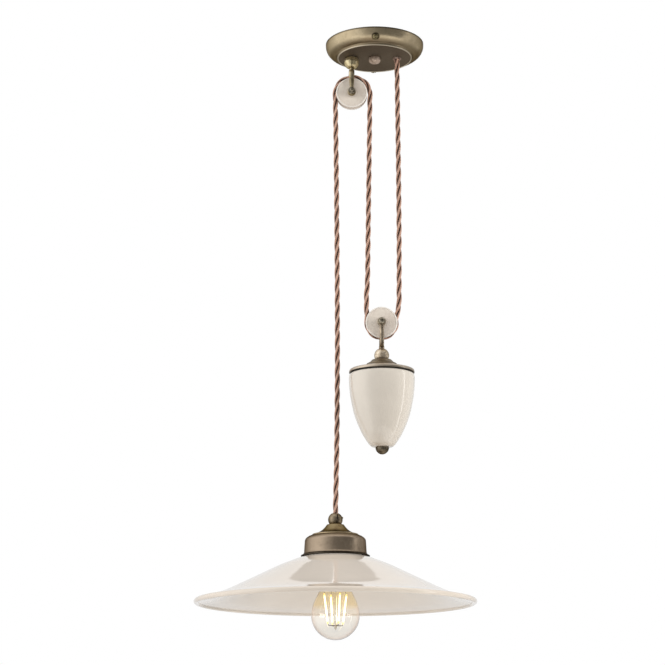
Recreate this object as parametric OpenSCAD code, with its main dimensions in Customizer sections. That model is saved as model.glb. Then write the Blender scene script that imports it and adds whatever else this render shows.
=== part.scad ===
// Rise and fall pendant: a wide ceramic shade on a twisted flex that runs up over a
// fixed pulley, down round the pulley of a counterweight, and back up to the ceiling rose.
// Millimetres. The origin is the middle of the ceiling face, +Z is up, and everything hangs below it.
// The front is the -Y side, where both pulleys show their faces.

/* [Shade] */
// Outer diameter of the ceramic shade
shade_d = 350; // [340:1:360]
// Wall thickness of the shade
shade_t = 3.5; // [3.2:0.1:4.4]
// Radius of the rolled bead round the rim
bead_r = 3.3; // [2.8:0.1:3.6]
// Hole in the top of the shade that the lampholder passes through
shade_hole_d = 42; // [41:0.5:44]

/* [Ceiling rose] */
// Outer diameter of the rose
rose_d = 129; // [126:1:134]
// Depth of the rose from the ceiling to its plate
rose_h = 18.4; // [17.5:0.1:19]
// Distance between the two ceiling screws
bracket_pitch = 80; // [76:1:84]
// Width of the slots for the ceiling screws
slot_w = 5.2; // [4.5:0.1:6]

/* [Flex and pulleys] */
// Diameter of the twisted flex
flex_d = 7; // [6.6:0.1:7.2]
// Radius at which the flex runs on a pulley, to its middle
run_r = 21.6; // [21.2:0.1:22]
// The same for the counterweight's pulley, where the load draws the flex deeper
run_low = 18.6; // [18.4:0.1:19.4]
// Outer radius of a pulley's flanges
pulley_r = 20.5; // [20.2:0.1:21]
// Thickness of a pulley
pulley_t = 12; // [11.6:0.1:12.2]
// Diameter of the axle bolts
axle_d = 5; // [4.6:0.1:5.2]
// Running clearance of a pulley on its axle, on the radius
run_gap = 0.06; // [0.03:0.01:0.09]
// Height of the fixed pulley's axle
upper_z = -68.5; // [-70:0.5:-67]
// Height of the counterweight pulley's axle
lower_z = -379; // [-390:1:-370]

/* [Counterweight] */
// Wall thickness of the ceramic body
weight_t = 3.6; // [3.3:0.1:4.4]
// Diameter of the tie rod through the weight
rod_d = 6; // [5:0.5:6]

/* [Lamp head] */
// Wall thickness of the spun brass parts
brass_t = 1; // [0.8:0.1:1.2]
// Clear bore of the lampholder's screw shell, on the radius
shell_r = 13.45; // [13.4:0.05:13.6]

/* [Hidden] */
$fn = 96;
ux = -30.5;                    // fixed pulley and hanger
ex = 29.5;                     // where the flex leaves the rose
uz = upper_z;
lz = lower_z;
fr = flex_d / 2;
ax = ux - run_r;               // falling strand, and the lamp's own axis
loose = 1.3;                   // the stiff flex stands this far off the fixed pulley
bx = ux + run_r + 2 * loose;   // strand between the pulleys, at its top
lx = (bx + ex) / 2 - 4.6;      // the weight hangs nearly midway between its two strands
plate = -rose_h;               // outer face of the rose's plate
ball_r = 9.1;
crown = 30.2;                  // axle to the middle of the fork's crown
leg_y = 9.2;
leg_r = 2.2;
eye_r = 5.2;
axle_r = axle_d / 2;
wz = -444.2;                   // bottom edge of the weight's lid
gz = -676.2;                   // lip of the lamp's gallery
top_z = -675.8;                // flat top of the shade, inside the gallery
ball_z = -631.5;

// ---- shapes that repeat ----

// Smooth curve through hand-set points, for a turned or spun outline
function cr(a, b, c, d, t) = 0.5 * (2 * b + (c - a) * t + (2 * a - 5 * b + 4 * c - d) * t * t + (3 * b - a - 3 * c + d) * t * t * t);
function smooth(p, n) = [for (i = [0:len(p) - 2]) for (k = [0:n - 1])
    cr(p[max(i - 1, 0)], p[i], p[i + 1], p[min(i + 2, len(p) - 1)], k / n), p[len(p) - 1]];
function unit(v) = v / norm(v);
// The same curve moved sideways by d, for the other face of a wall
function aside(p, d) = [for (i = [0:len(p) - 1])
    let (v = unit(p[min(i + 1, len(p) - 1)] - p[max(i - 1, 0)])) p[i] + d * [v[1], -v[0]]];
function back(p) = [for (i = [len(p) - 1:-1:0]) p[i]];
function arc(cx, cy, r, a, b, n) = [for (i = [0:n]) [cx + r * cos(a + (b - a) * i / n), cy + r * sin(a + (b - a) * i / n)]];

module lathe(p) rotate_extrude() polygon(p);
module tube(ro, ri, z0, z1) translate([0, 0, min(z0, z1)]) difference() {
    cylinder(r = ro, h = abs(z1 - z0));
    translate([0, 0, -1]) cylinder(r = ri, h = abs(z1 - z0) + 2);
}
module rod(a, b, r) translate(a) rotate([0, acos((b[2] - a[2]) / norm(b - a)), atan2(b[1] - a[1], b[0] - a[0])]) cylinder(r = r, h = norm(b - a));
module hex(af, h) cylinder(d = af / cos(30), h = h, $fn = 6);
module along_y() rotate([-90, 0, 0]) children();

// Turned brass ball with a flat at each end and a bore; the small flat is upward
module ball(bore, r = ball_r, low = 6) difference() {
    intersection() {
        sphere(r = r);
        translate([0, 0, -low]) cylinder(r = 12, h = low + 8);
    }
    translate([0, 0, -10]) cylinder(r = bore, h = 20);
}
// Fork bent from round rod: axle at the origin, crown above, and a stem above that
module fork(stem, neck = 33.1) {
    difference() {
        union() {
            for (s = [-1, 1]) {
                translate([0, s * leg_y, 0]) cylinder(r = leg_r, h = crown - 3.7);
                translate([0, s * (leg_y - 4), crown - 4]) rotate([90, 0, s * 90]) rotate_extrude(angle = 90) translate([4, 0]) circle(r = leg_r + 0.08, $fn = 48);
                translate([0, s * leg_y - leg_r - 0.15, 0]) along_y() cylinder(r = eye_r, h = 2 * leg_r + 0.3);
            }
            translate([0, -leg_y + 3.7, crown]) along_y() cylinder(r = leg_r, h = 2 * leg_y - 7.4);
            translate([0, 0, crown - leg_r - 0.4]) cylinder(r = 4.2, h = neck - crown + leg_r);
            translate([0, 0, crown]) cylinder(r = 3, h = stem);
        }
        translate([0, -15, 0]) along_y() cylinder(r = axle_r + 0.02, h = 30);
    }
}
// Grooved pulley on the Y axis, with a proud border round each face
module pulley(run) along_y() difference() {
    translate([0, 0, -pulley_t / 2]) union() {
        cylinder(r = pulley_r - 1.2, h = pulley_t);
        translate([0, 0, 0.5]) cylinder(r1 = pulley_r - 0.4, r2 = pulley_r, h = 0.4);
        translate([0, 0, 0]) cylinder(r = pulley_r - 0.4, h = 0.5);
        translate([0, 0, 0.9]) cylinder(r = pulley_r, h = pulley_t - 1.8);
        translate([0, 0, pulley_t - 0.9]) cylinder(r1 = pulley_r, r2 = pulley_r - 0.4, h = 0.4);
        translate([0, 0, pulley_t - 0.5]) cylinder(r = pulley_r - 0.4, h = 0.5);
    }
    rotate_extrude() union() {
        translate([run, 0]) circle(r = fr + 0.3, $fn = 48);
        translate([run, -fr - 0.3]) square([8, 2 * fr + 0.6]);
    }
    cylinder(r = 4, h = 30, center = true);
    for (s = [-1, 1]) translate([0, 0, s * (pulley_t / 2 + 0.1)]) difference() {
        cylinder(r = pulley_r - 2, h = 1, center = true);
        cylinder(r = 6.5, h = 3, center = true);
    }
}
module bush() along_y() difference() {
    cylinder(r = 3.99, h = pulley_t + 0.4, center = true);
    cylinder(r = axle_r + run_gap, h = 20, center = true);
}
module washers() for (s = [-1, 1]) translate([0, s * 6.55 - 0.25, 0]) along_y() difference() {
    cylinder(r = 4.9, h = 0.5);
    translate([0, 0, -1]) cylinder(r = axle_r + 0.1, h = 3);
}
// Slotted round head, on the -Y side when face is 1
module axle(face) {
    rotate([face * 90, 0, 0]) {
        translate([0, 0, -15.4]) cylinder(r = axle_r, h = 15.4 + 11.7);
        difference() {
            translate([0, 0, 11.6]) rotate_extrude() polygon([[0, 0], [4.7, 0], [4.7, 0.8], [4.5, 1.5], [4.0, 2.2], [3.1, 2.8], [1.9, 3.15], [0, 3.3]]);
            translate([-6, -0.55, 13.6]) cube([12, 1.1, 3]);
        }
    }
}
// Domed hexagon nut, on the +Y side when face is -1
module axle_nut(face) rotate([face * 90, 0, 0]) translate([0, 0, 11.6]) difference() {
    union() {
        hex(8.6, 3.4);
        translate([0, 0, 3.4]) rotate_extrude() polygon([[0, 0], [4.0, 0], [3.8, 0.9], [3.1, 1.8], [1.8, 2.4], [0, 2.6]]);
    }
    translate([0, 0, -1]) cylinder(r = axle_r + 0.02, h = 5.2);
}

// ---- ceiling rose ----
tilt = 45;                     // slope of the rose's wall where its side screws go through
side = [0, -60.5, -12];        // where they go through it
module ceiling_bracket() color([0.72, 0.73, 0.74]) difference() {
    union() {
        translate([-9, -61.6, -1.6]) cube([18, 123.2, 1.6]);
        for (s = [0, 180]) rotate([0, 0, s]) translate([-9, -61.6, 0]) rotate([tilt, 0, 0]) translate([0, 0, -13.4]) cube([18, 1.6, 13.4]);
        for (s = [0, 180]) rotate([0, 0, s]) translate([-9, -61.6, -1.6]) cube([18, 2.4, 1.6]);
    }
    translate([-20, -70, 0]) cube([40, 140, 5]);
    for (s = [-1, 1]) {
        for (e = [-1, 1]) translate([0, s * bracket_pitch / 2 + e * 3.4, -3]) cylinder(d = slot_w, h = 5);
        translate([-slot_w / 2, s * bracket_pitch / 2 - 3.4, -3]) cube([slot_w, 6.8, 6]);
    }
    for (s = [0, 180]) rotate([0, 0, s]) translate(side) rotate([90 + tilt, 0, 0]) translate([0, 0, -15]) cylinder(r = 2.02, h = 13);
}
module bracket_nut() color([0.72, 0.73, 0.74]) translate([0, 0, -8.1]) difference() {
    hex(13, 6.5);
    translate([0, 0, -1]) cylinder(r = 4.02, h = 9);
}
module centre_stud() color([0.8, 0.7, 0.45]) translate([0, 0, -23.2]) cylinder(r = 4, h = 21.6);
rose_out = concat([[rose_d / 2, 0]], [for (a = [0:6:90]) [rose_d / 2 - 13.2 + 13.2 * cos(a), -2 - (rose_h - 4.4) * sin(a)]],
    [[rose_d / 2 - 13.8, plate + 2], [rose_d / 2 - 14.6, plate + 0.9]], arc(rose_d / 2 - 16.1, plate - 0.15, 0.95, 0, -180, 8), [[rose_d / 2 - 17.2, plate], [0, plate]]);
rose_in = concat([[0, plate + 1.2], [rose_d / 2 - 16.8, plate + 1.2], [rose_d / 2 - 15.2, plate + 1.5], [rose_d / 2 - 14.2, plate + 3.2]],
    [for (a = [90:-6:0]) [rose_d / 2 - 12.8 + 11.7 * cos(a), -2 - (rose_h - 6) * sin(a)]], [[rose_d / 2 - 1.1, 0]]);
module rose_shell() color([0.52, 0.46, 0.36]) difference() {
    lathe(concat(rose_out, rose_in));
    translate([0, 0, plate - 3]) cylinder(r = 4.2, h = 6);
    translate([ux, 0, plate - 3]) cylinder(r = 3.2, h = 6);
    translate([ex, 0, plate - 3]) cylinder(r = 4.65, h = 6);
    for (s = [0, 180]) rotate([0, 0, s]) translate(side) rotate([90 + tilt, 0, 0]) translate([0, 0, -4]) cylinder(r = 2.3, h = 8);
}
module rose_knob() color([0.72, 0.62, 0.5]) translate([0, 0, plate]) difference() {
    lathe([[0, 0], [7.9, 0], [8.1, -0.6], [8.1, -3.4], [7.8, -4.6], [7, -5.8], [5.6, -6.8], [3.4, -7.4], [0, -7.6]]);
    translate([0, 0, -5.2]) cylinder(r = 4.04, h = 7.2);
}
module rose_side_screws() color([0.72, 0.6, 0.35]) for (s = [0, 180]) rotate([0, 0, s]) translate(side) rotate([90 + tilt, 0, 0]) difference() {
    union() {
        translate([0, 0, -10.8]) cylinder(r = 2, h = 11.3);
        translate([0, 0, 0.3]) rotate_extrude() polygon([[0, 0], [4.2, 0], [4.2, 0.8], [3.8, 1.8], [2.7, 2.5], [0, 2.9]]);
    }
    translate([-5, -0.6, 1.8]) cube([10, 1.2, 3]);
}
module hanger_ball() color([0.8, 0.72, 0.52]) translate([ux, 0, plate - 6]) rotate([180, 0, 0]) ball(3.06, 9.8);
module hanger_nut() color([0.75, 0.75, 0.75]) translate([ux, 0, plate + 1.2]) difference() {
    union() {
        cylinder(r = 6.2, h = 1);
        translate([0, 0, 1]) hex(10, 4.6);
    }
    translate([0, 0, -1]) cylinder(r = 3.04, h = 9);
}
module upper_fork() color([0.62, 0.55, 0.4]) translate([ux, 0, uz]) fork(26.4);
module upper_axle() color([0.6, 0.55, 0.42]) translate([ux, 0, uz]) axle(-1);
module upper_axle_nut() color([0.6, 0.55, 0.42]) translate([ux, 0, uz]) axle_nut(1);
module upper_washers() color([0.7, 0.65, 0.5]) translate([ux, 0, uz]) washers();
module upper_pulley() color([0.8, 0.77, 0.72]) translate([ux, 0, uz]) pulley(run_r);
module upper_bush() color([0.75, 0.62, 0.35]) translate([ux, 0, uz]) bush();
module flex_bush() color([0.75, 0.66, 0.5]) translate([ex, 0, 0]) difference() {
    lathe([[0, plate - 2], [4.9, plate - 2], [5.5, plate - 1.5], [5.5, plate], [4.6, plate], [4.6, plate + 3.6], [0, plate + 3.6]]);
    translate([0, 0, plate - 3]) cylinder(r = fr + 0.18, h = 10);
}
module flex_bush_nut() color([0.75, 0.66, 0.5]) translate([ex, 0, plate + 1.2]) difference() {
    hex(12, 2.2);
    translate([0, 0, -1]) cylinder(r = 4.62, h = 6);
}
// The tail turns over inside the rose, sweeps round under the clamp, and ends at the terminals
tail_r = 6.5;
tail_x = 8;
bend_z = plate + 3.6;
tail_z = bend_z + tail_r;
sweep_r = ex - tail_x;
module clamp_at() translate([tail_x, tail_r, 0]) rotate([0, 0, 45]) translate([sweep_r, 0, 0]) children();
module flex_clamp_base() color([0.9, 0.88, 0.82]) clamp_at() difference() {
    translate([-11, -4, plate + 1.2]) cube([22, 8, tail_z - fr - 0.1 - plate - 1.2]);
    for (s = [-1, 1]) translate([s * 7.6, 0, plate]) cylinder(r = 1.52, h = 12);
}
module flex_clamp_bar() color([0.75, 0.75, 0.76]) clamp_at() difference() {
    translate([-11, -4, tail_z + fr + 0.1]) cube([22, 8, 1.2]);
    for (s = [-1, 1]) translate([s * 7.6, 0, tail_z]) cylinder(r = 1.7, h = 12);
}
module flex_clamp_screws() color([0.75, 0.75, 0.76]) clamp_at() for (s = [-1, 1]) translate([s * 7.6, 0, 0]) difference() {
    union() {
        translate([0, 0, plate + 1.6]) cylinder(r = 1.5, h = tail_z + fr + 1.3 - plate - 1.6);
        translate([0, 0, tail_z + fr + 1.3]) cylinder(r = 2.8, h = 1.6);
    }
    translate([-4, -0.35, tail_z + fr + 2.2]) cube([8, 0.7, 2]);
}
term = [-22, 26];
module terminal_block() color([0.93, 0.91, 0.86]) translate([term[0], term[1], plate + 1.2]) difference() {
    translate([-12, -7.5, 0]) cube([24, 15, 9.4]);
    for (k = [-1:1]) {
        translate([-13, k * 4.6, 4.6]) rotate([0, 90, 0]) cylinder(r = 1.7, h = 26);
        for (s = [-1, 1]) translate([s * 7, k * 4.6, 4]) cylinder(r = 1.6, h = 8);
    }
    for (k = [-0.5, 0.5]) translate([-13, k * 4.6 - 0.4, 7.4]) cube([26, 0.8, 4]);
}
module terminal_screws() color([0.78, 0.66, 0.35]) translate([term[0], term[1], plate + 1.2]) for (k = [-1:1]) for (s = [-1, 1])
    translate([s * 7, k * 4.6, 6.3]) difference() {
        cylinder(r = 1.55, h = 2.4);
        translate([-3, -0.25, 1.5]) cube([6, 0.5, 2]);
    }
// ---- the flex, one length from the rose to the lamp, in the stretches that move differently ----
flex_c = [0.56, 0.38, 0.29];
module flex_rose_tail() color(flex_c) {
    translate([ex, 0, plate - 2]) cylinder(r = fr, h = bend_z - plate + 2.02);
    translate([ex, tail_r, bend_z]) rotate([90, 0, -90]) rotate_extrude(angle = 90) translate([tail_r, 0]) circle(r = fr, $fn = 48);
    translate([tail_x, tail_r, tail_z]) rotate_extrude(angle = 90) translate([sweep_r, 0]) circle(r = fr, $fn = 48);
    translate([tail_x + 0.02, tail_r + sweep_r, tail_z]) rotate([0, -90, 0]) cylinder(r = fr, h = 8);
    for (k = [-1:1]) let (a = [0.4, tail_r + sweep_r + k * 2.25, tail_z], b = [-11, term[1] + k * 4.6, plate + 5.8]) rod(a, a + (b - a) * 1.07, 1.05);
}
// The strand from the rose hangs straight and bends in to the counterweight's pulley in two easy curves
bend_h = 30;
bend_in = ex - lx - run_low;
bend_a = 2 * atan(bend_in / bend_h);
bend_r = bend_h / 2 / sin(bend_a);
module flex_return() color(flex_c) {
    rod([ex, 0, lz + bend_h], [ex, 0, plate - 2.05], fr);
    translate([ex - bend_r, 0, lz + bend_h]) rotate([90, 0, 0]) rotate([0, 0, -bend_a]) rotate_extrude(angle = bend_a) translate([bend_r, 0]) circle(r = fr, $fn = 48);
    translate([lx + run_low + bend_r, 0, lz]) rotate([90, 0, 0]) rotate([0, 0, 180 - bend_a]) rotate_extrude(angle = bend_a - 0.12) translate([bend_r, 0]) circle(r = fr, $fn = 48);
}
module flex_under() color(flex_c) translate([lx, 0, lz]) rotate([-90, 0, 0]) rotate_extrude(angle = 180) translate([run_low, 0]) circle(r = fr, $fn = 48);
module flex_middle() color(flex_c) rod([lx - run_low, 0, lz + 0.08], [bx, 0, uz - 0.08], fr);
module flex_over() color(flex_c) translate([ux + loose, 0, uz]) rotate([90, 0, 0]) rotate_extrude(angle = 180) translate([run_r + loose, 0]) circle(r = fr, $fn = 48);
module flex_drop() color(flex_c) translate([ax, 0, ball_z + 8.05]) cylinder(r = fr, h = uz - 0.05 - ball_z - 8.05);
module flex_lamp_tail() color(flex_c) translate([ax, 0, 0]) {
    translate([0, 0, -660]) cylinder(r = fr, h = ball_z + 8 + 660);
    for (a = [90, 210, 330]) rotate([0, 0, a]) rod([1.6, 0, -659.6], [6.7, 0, -663.1], 1.05);
}

// ---- counterweight ----
module lower_pulley() color([0.8, 0.77, 0.72]) translate([lx, 0, lz]) pulley(run_low);
module lower_bush() color([0.75, 0.62, 0.35]) translate([lx, 0, lz]) bush();
module lower_fork() color([0.5, 0.45, 0.35]) translate([lx, 0, lz]) rotate([180, 0, 0]) fork(11, 34.2);
module lower_axle() color([0.5, 0.45, 0.35]) translate([lx, 0, lz]) axle(-1);
module lower_axle_nut() color([0.5, 0.45, 0.35]) translate([lx, 0, lz]) axle_nut(1);
module lower_washers() color([0.7, 0.65, 0.5]) translate([lx, 0, lz]) washers();
module weight_ball() color([0.75, 0.68, 0.55]) translate([lx, 0, lz - 42.3]) ball(3.06, 9.5, 4.8);
module weight_ball_washer() color([0.2, 0.18, 0.15]) translate([lx, 0, 0]) tube(8.8, 3.1, lz - 47.1, lz - 48.2);
lid_out = concat([[0, wz + 17]], smooth([[8, wz + 17], [12.6, wz + 16.8], [13.8, wz + 15.6], [15.4, wz + 14], [17.4, wz + 12.6], [19.3, wz + 11.7], [19.9, wz + 10.6], [21.3, wz + 9.6], [28, wz + 7], [35, wz + 5.2], [40.2, wz + 3.9], [41.5, wz + 2.8]], 3));
module weight_lid() color([0.52, 0.47, 0.38]) translate([lx, 0, 0]) difference() {
    lathe(concat(lid_out, [[41.6, wz], [36.5, wz], [36.5, wz + 1.1], [38.4, wz + 1.3], [38.4, wz + 2.6], [34.8, wz + 4], [20.6, wz + 8.4], [18, wz + 10.2], [13, wz + 12.2], [10.4, wz + 15.4], [0, wz + 15.4]]));
    translate([0, 0, wz]) cylinder(r = 3.1, h = 20);
}
module weight_gasket() color([0.1, 0.09, 0.08]) translate([lx, 0, 0]) tube(39.4, 37.6, wz - 1.28, wz - 0.02);
body_key = [[39.4, wz - 1.3], [41.2, wz - 2.6], [41.9, wz - 6], [41.9, wz - 12], [41.4, wz - 20], [40.4, wz - 29], [38.8, wz - 38], [36.8, wz - 48], [33.9, wz - 58], [30, wz - 68], [24.9, wz - 79], [19, wz - 88.6], [16, wz - 92.4], [13.6, wz - 94.6], [10.8, wz - 95.4]];
body_out = smooth(body_key, 3);
body_in = aside(smooth([for (p = body_key) if (p[1] > wz - 90 && p[1] < wz - 5) p], 3), weight_t);
module weight_body() color([0.87, 0.84, 0.78]) translate([lx, 0, 0]) difference() {
    lathe(concat([[37.6, wz - 1.3]], body_out, [[0, wz - 95.4], [0, wz - 88]], back(body_in)));
    translate([0, 0, wz - 100]) cylinder(r = 3.4, h = 30);
}
core_out = aside(smooth([for (p = body_key) if (p[1] > wz - 90 && p[1] < wz - 5) p], 3), weight_t + 0.4);
module weight_ballast() color([0.35, 0.35, 0.36]) translate([lx, 0, 0]) difference() {
    lathe(concat([[0, wz - 3.2], [37.2, wz - 3.2]], core_out, [[0, core_out[len(core_out) - 1][1]]]));
    translate([0, 0, wz - 100]) cylinder(r = 3.3, h = 110);
}
module weight_rod() color([0.72, 0.72, 0.72]) translate([lx, 0, wz - 101.5]) cylinder(r = rod_d / 2, h = 101.5 - wz + wz + 22);
module weight_finial() color([0.42, 0.38, 0.3]) translate([lx, 0, wz - 95.4]) difference() {
    lathe([[0, 0], [8.1, 0], [8.5, -0.5], [8.5, -1.4], [8.2, -3], [7.4, -4.8], [6, -6.6], [4.2, -8], [2.2, -8.9], [0, -9.2]]);
    translate([0, 0, -6.4]) cylinder(r = 3.04, h = 8);
}

// ---- lamp head ----
module grip_ball() color([0.58, 0.52, 0.42]) translate([ax, 0, ball_z]) difference() {
    ball(fr + 0.1);
    translate([0, 0, -7]) cylinder(r = 5.02, h = 8);
    rotate([0, 0, 14]) translate([-0.6, -12, -2]) cube([1.2, 12, 12]);
    rotate([0, 0, 20]) translate([fr - 1, 0, 3]) rotate([0, 90, 0]) cylinder(r = 1.27, h = 14);
}
module grip_screw() color([0.5, 0.45, 0.36]) translate([ax, 0, ball_z + 3]) rotate([0, 0, 20]) rotate([0, 90, 0]) difference() {
    union() {
        translate([0, 0, fr + 0.4]) cylinder(r = 1.25, h = 6);
    }
    translate([-3, -0.25, fr + 5.6]) cube([6, 0.5, 2]);
}
module lamp_nipple() color([0.75, 0.62, 0.35]) translate([ax, 0, 0]) tube(5, fr + 0.3, ball_z + 0.8, -657.6);
module nipple_nut() color([0.75, 0.75, 0.75]) translate([ax, 0, gz + 33.85]) difference() {
    hex(14, 3);
    translate([0, 0, -1]) cylinder(r = 5.04, h = 6);
}
gal_out = concat(smooth([[10.4, gz + 38.7], [11.3, gz + 37.6], [12.3, gz + 36.2], [14.3, gz + 33.9], [17.2, gz + 31.3], [21.2, gz + 28.9], [24.6, gz + 27.6], [28.2, gz + 26.7]], 3),
    [[28.9, gz + 26.2], [29.2, gz + 25.3]], smooth([[30, gz + 25], [33.2, gz + 23.9], [36.4, gz + 21.6], [37.9, gz + 19.2], [38.3, gz + 16]], 3), [[39, gz + 3.8]], smooth([[39.2, gz + 3.3], [39.8, gz + 2], [41.1, gz + 0.9], [43, gz]], 3));
module gallery() color([0.5, 0.45, 0.37]) translate([ax, 0, 0]) difference() {
    lathe(concat([[0, gz + 38.7]], gal_out, [[43, gz - 0.9]], back([for (q = aside(gal_out, brass_t)) if (q[1] < gz + 36.7) q]), [[9, gz + 36.9], [0, gz + 36.9]]));
    translate([0, 0, gz + 30]) cylinder(r = 5.2, h = 12);
}
module shade_gasket() color([0.85, 0.82, 0.75]) translate([ax, 0, 0]) tube(26.5, 20.5, top_z + 0.02, top_z + 1.2);
shade_key = [[36, top_z], [42, top_z - 2.2], [48, top_z - 4.4], [60, top_z - 9], [68, top_z - 12.15], [72, top_z - 13.95], [78, top_z - 16.75], [95, top_z - 25], [115, top_z - 34.6], [130, top_z - 41.8], [142, top_z - 47], [152, top_z - 50.6], [162, top_z - 53.2], [shade_d / 2 - 5, top_z - 55.2]];
shade_out = smooth(shade_key, 3);
module shade() color([0.9, 0.87, 0.81]) translate([ax, 0, 0]) union() {
    lathe(concat([[shade_hole_d / 2, top_z]], shade_out, back(aside(shade_out, shade_t)), [[shade_hole_d / 2, top_z - shade_t]]));
    translate([0, 0, top_z - 57.9]) rotate_extrude() translate([shade_d / 2 - bead_r, 0]) circle(r = bead_r, $fn = 48);
}
module shade_ring() color([0.9, 0.88, 0.84]) translate([ax, 0, 0]) difference() {
    lathe([[0, top_z - shade_t - 0.1], [27.5, top_z - shade_t - 0.1], [28, top_z - shade_t - 0.6], [28, top_z - shade_t - 3.6], [27.2, top_z - shade_t - 4.4], [0, top_z - shade_t - 4.4]]);
    translate([0, 0, top_z - 15]) cylinder(r = 19.55, h = 20);
    for (a = [0:45:315]) rotate([0, 0, a + 22.5]) translate([28.6, 0, top_z - 15]) cylinder(r = 1.6, h = 20);
}
module holder_body() color([0.92, 0.9, 0.86]) translate([ax, 0, 0]) difference() {
    lathe([[0, -654], [11, -654], [14, -655.4], [18, -659], [19.5, -663], [19.5, -671.6], [26, -671.6], [26.5, -672.2], [26.5, top_z + 1.22], [19.5, top_z + 1.22], [19.5, -699], [18.6, -700], [17, -700], [17, -662], [15, -659.4], [12, -658], [0, -658]]);
    translate([0, 0, -670]) cylinder(r = 5.04, h = 20);
}
module holder_core() color([0.95, 0.94, 0.9]) translate([ax, 0, 0]) difference() {
    lathe([[0, -666.4], [16.95, -666.4], [16.95, -671], [0, -671]]);
    for (a = [90, 210, 330]) rotate([0, 0, a]) translate([9.5, 0, -675]) cylinder(r = 1.3, h = 10);
}
module holder_terminals() color([0.8, 0.68, 0.35]) translate([ax, 0, 0]) for (a = [90, 210, 330]) rotate([0, 0, a]) translate([9.5, 0, 0]) {
    translate([-2, -2.2, -666.38]) cube([4, 4.4, 4]);
    translate([0, 0, -670]) cylinder(r = 1.25, h = 5);
}
module holder_shell() color([0.8, 0.78, 0.7]) translate([ax, 0, 0])
    lathe([[shell_r, -671.02], [16.6, -671.02], [16.6, -671.6], [shell_r + 0.5, -671.6], [shell_r + 0.5, -695], [shell_r, -695]]);
module holder_contact() color([0.8, 0.68, 0.35]) translate([ax, 0, 0]) {
    translate([0, 0, -672.4]) cylinder(r = 3.4, h = 1.38);
    translate([0, 0, -673.6]) cylinder(r1 = 1.6, r2 = 2.2, h = 1.21);
}

// ---- bulb, hanging cap up ----
bz = -780.3;
glass_key = [[0, bz], [6, bz + 0.6], [12, bz + 2.55], [18, bz + 6.1], [23.5, bz + 11.4], [27.4, bz + 17.8], [29.6, bz + 25], [30, bz + 31.5], [29, bz + 39], [26.6, bz + 46.6], [23, bz + 54.4], [19.2, bz + 62.4], [16.2, bz + 70.4], [14.4, bz + 77.5], [13.6, bz + 83.2]];
glass_out = smooth(glass_key, 3);
module bulb_glass() color([0.95, 0.95, 0.93, 0.4]) translate([ax, 0, 0])
    lathe(concat(glass_out, [[12.6, bz + 83.2]], back(aside(smooth([for (i = [1:len(glass_key) - 2]) glass_key[i]], 3), -1)), [[0, bz + 1]]));
cap_top = bz + 106.6;
module bulb_cap() color([0.78, 0.78, 0.78]) translate([ax, 0, 0]) difference() {
    lathe(concat([[0, cap_top], [3.6, cap_top], [4.4, cap_top - 0.9], [4.4, cap_top - 1.6], [8.6, cap_top - 3.4], [11, cap_top - 4.4]],
        [for (i = [0:27]) [12.65 + 0.5 * cos(i * 90), cap_top - 4.9 - i * 0.62]], [[12.6, cap_top - 22.4], [13.1, cap_top - 22.9], [13.1, bz + 83.25], [0, bz + 83.25]]));
    translate([0, 0, bz + 83]) cylinder(r = 11.6, h = 16);
}
module bulb_stem() color([0.9, 0.92, 0.92, 0.5]) translate([ax, 0, 0])
    lathe([[10.4, bz + 96], [11.4, bz + 96], [11.4, bz + 84], [10.6, bz + 76], [5, bz + 69], [3.2, bz + 64], [2.6, bz + 58], [2.2, bz + 30], [2.6, bz + 24], [1.6, bz + 14], [0, bz + 12.4],
        [0, bz + 60], [2.2, bz + 66], [4.2, bz + 70], [9.6, bz + 77], [10.4, bz + 84]]);
module bulb_filaments() color([1, 0.85, 0.45]) translate([ax, 0, 0]) for (a = [22:90:292]) rotate([0, 0, a]) rod([15, 0, bz + 57], [10, 0, bz + 19.5], 0.95);

ceiling_bracket();
bracket_nut();
centre_stud();
rose_shell();
rose_knob();
rose_side_screws();
hanger_ball();
hanger_nut();
upper_fork();
upper_axle();
upper_axle_nut();
upper_washers();
upper_pulley();
upper_bush();
flex_bush();
flex_bush_nut();
flex_clamp_base();
flex_clamp_bar();
flex_clamp_screws();
terminal_block();
terminal_screws();
flex_rose_tail();
flex_return();
flex_under();
flex_middle();
flex_over();
flex_drop();
flex_lamp_tail();
lower_pulley();
lower_bush();
lower_fork();
lower_axle();
lower_axle_nut();
lower_washers();
weight_ball();
weight_ball_washer();
weight_lid();
weight_gasket();
weight_body();
weight_ballast();
weight_rod();
weight_finial();
grip_ball();
grip_screw();
lamp_nipple();
nipple_nut();
gallery();
shade_gasket();
shade();
shade_ring();
holder_body();
holder_core();
holder_terminals();
holder_shell();
holder_contact();
bulb_glass();
bulb_cap();
bulb_stem();
bulb_filaments();
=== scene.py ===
"""Rise and fall pendant: a wide cream ceramic shade, a ceramic counterweight on a running pulley, a brass rose."""
import math

import bpy
from mathutils import Matrix, Vector


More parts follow.
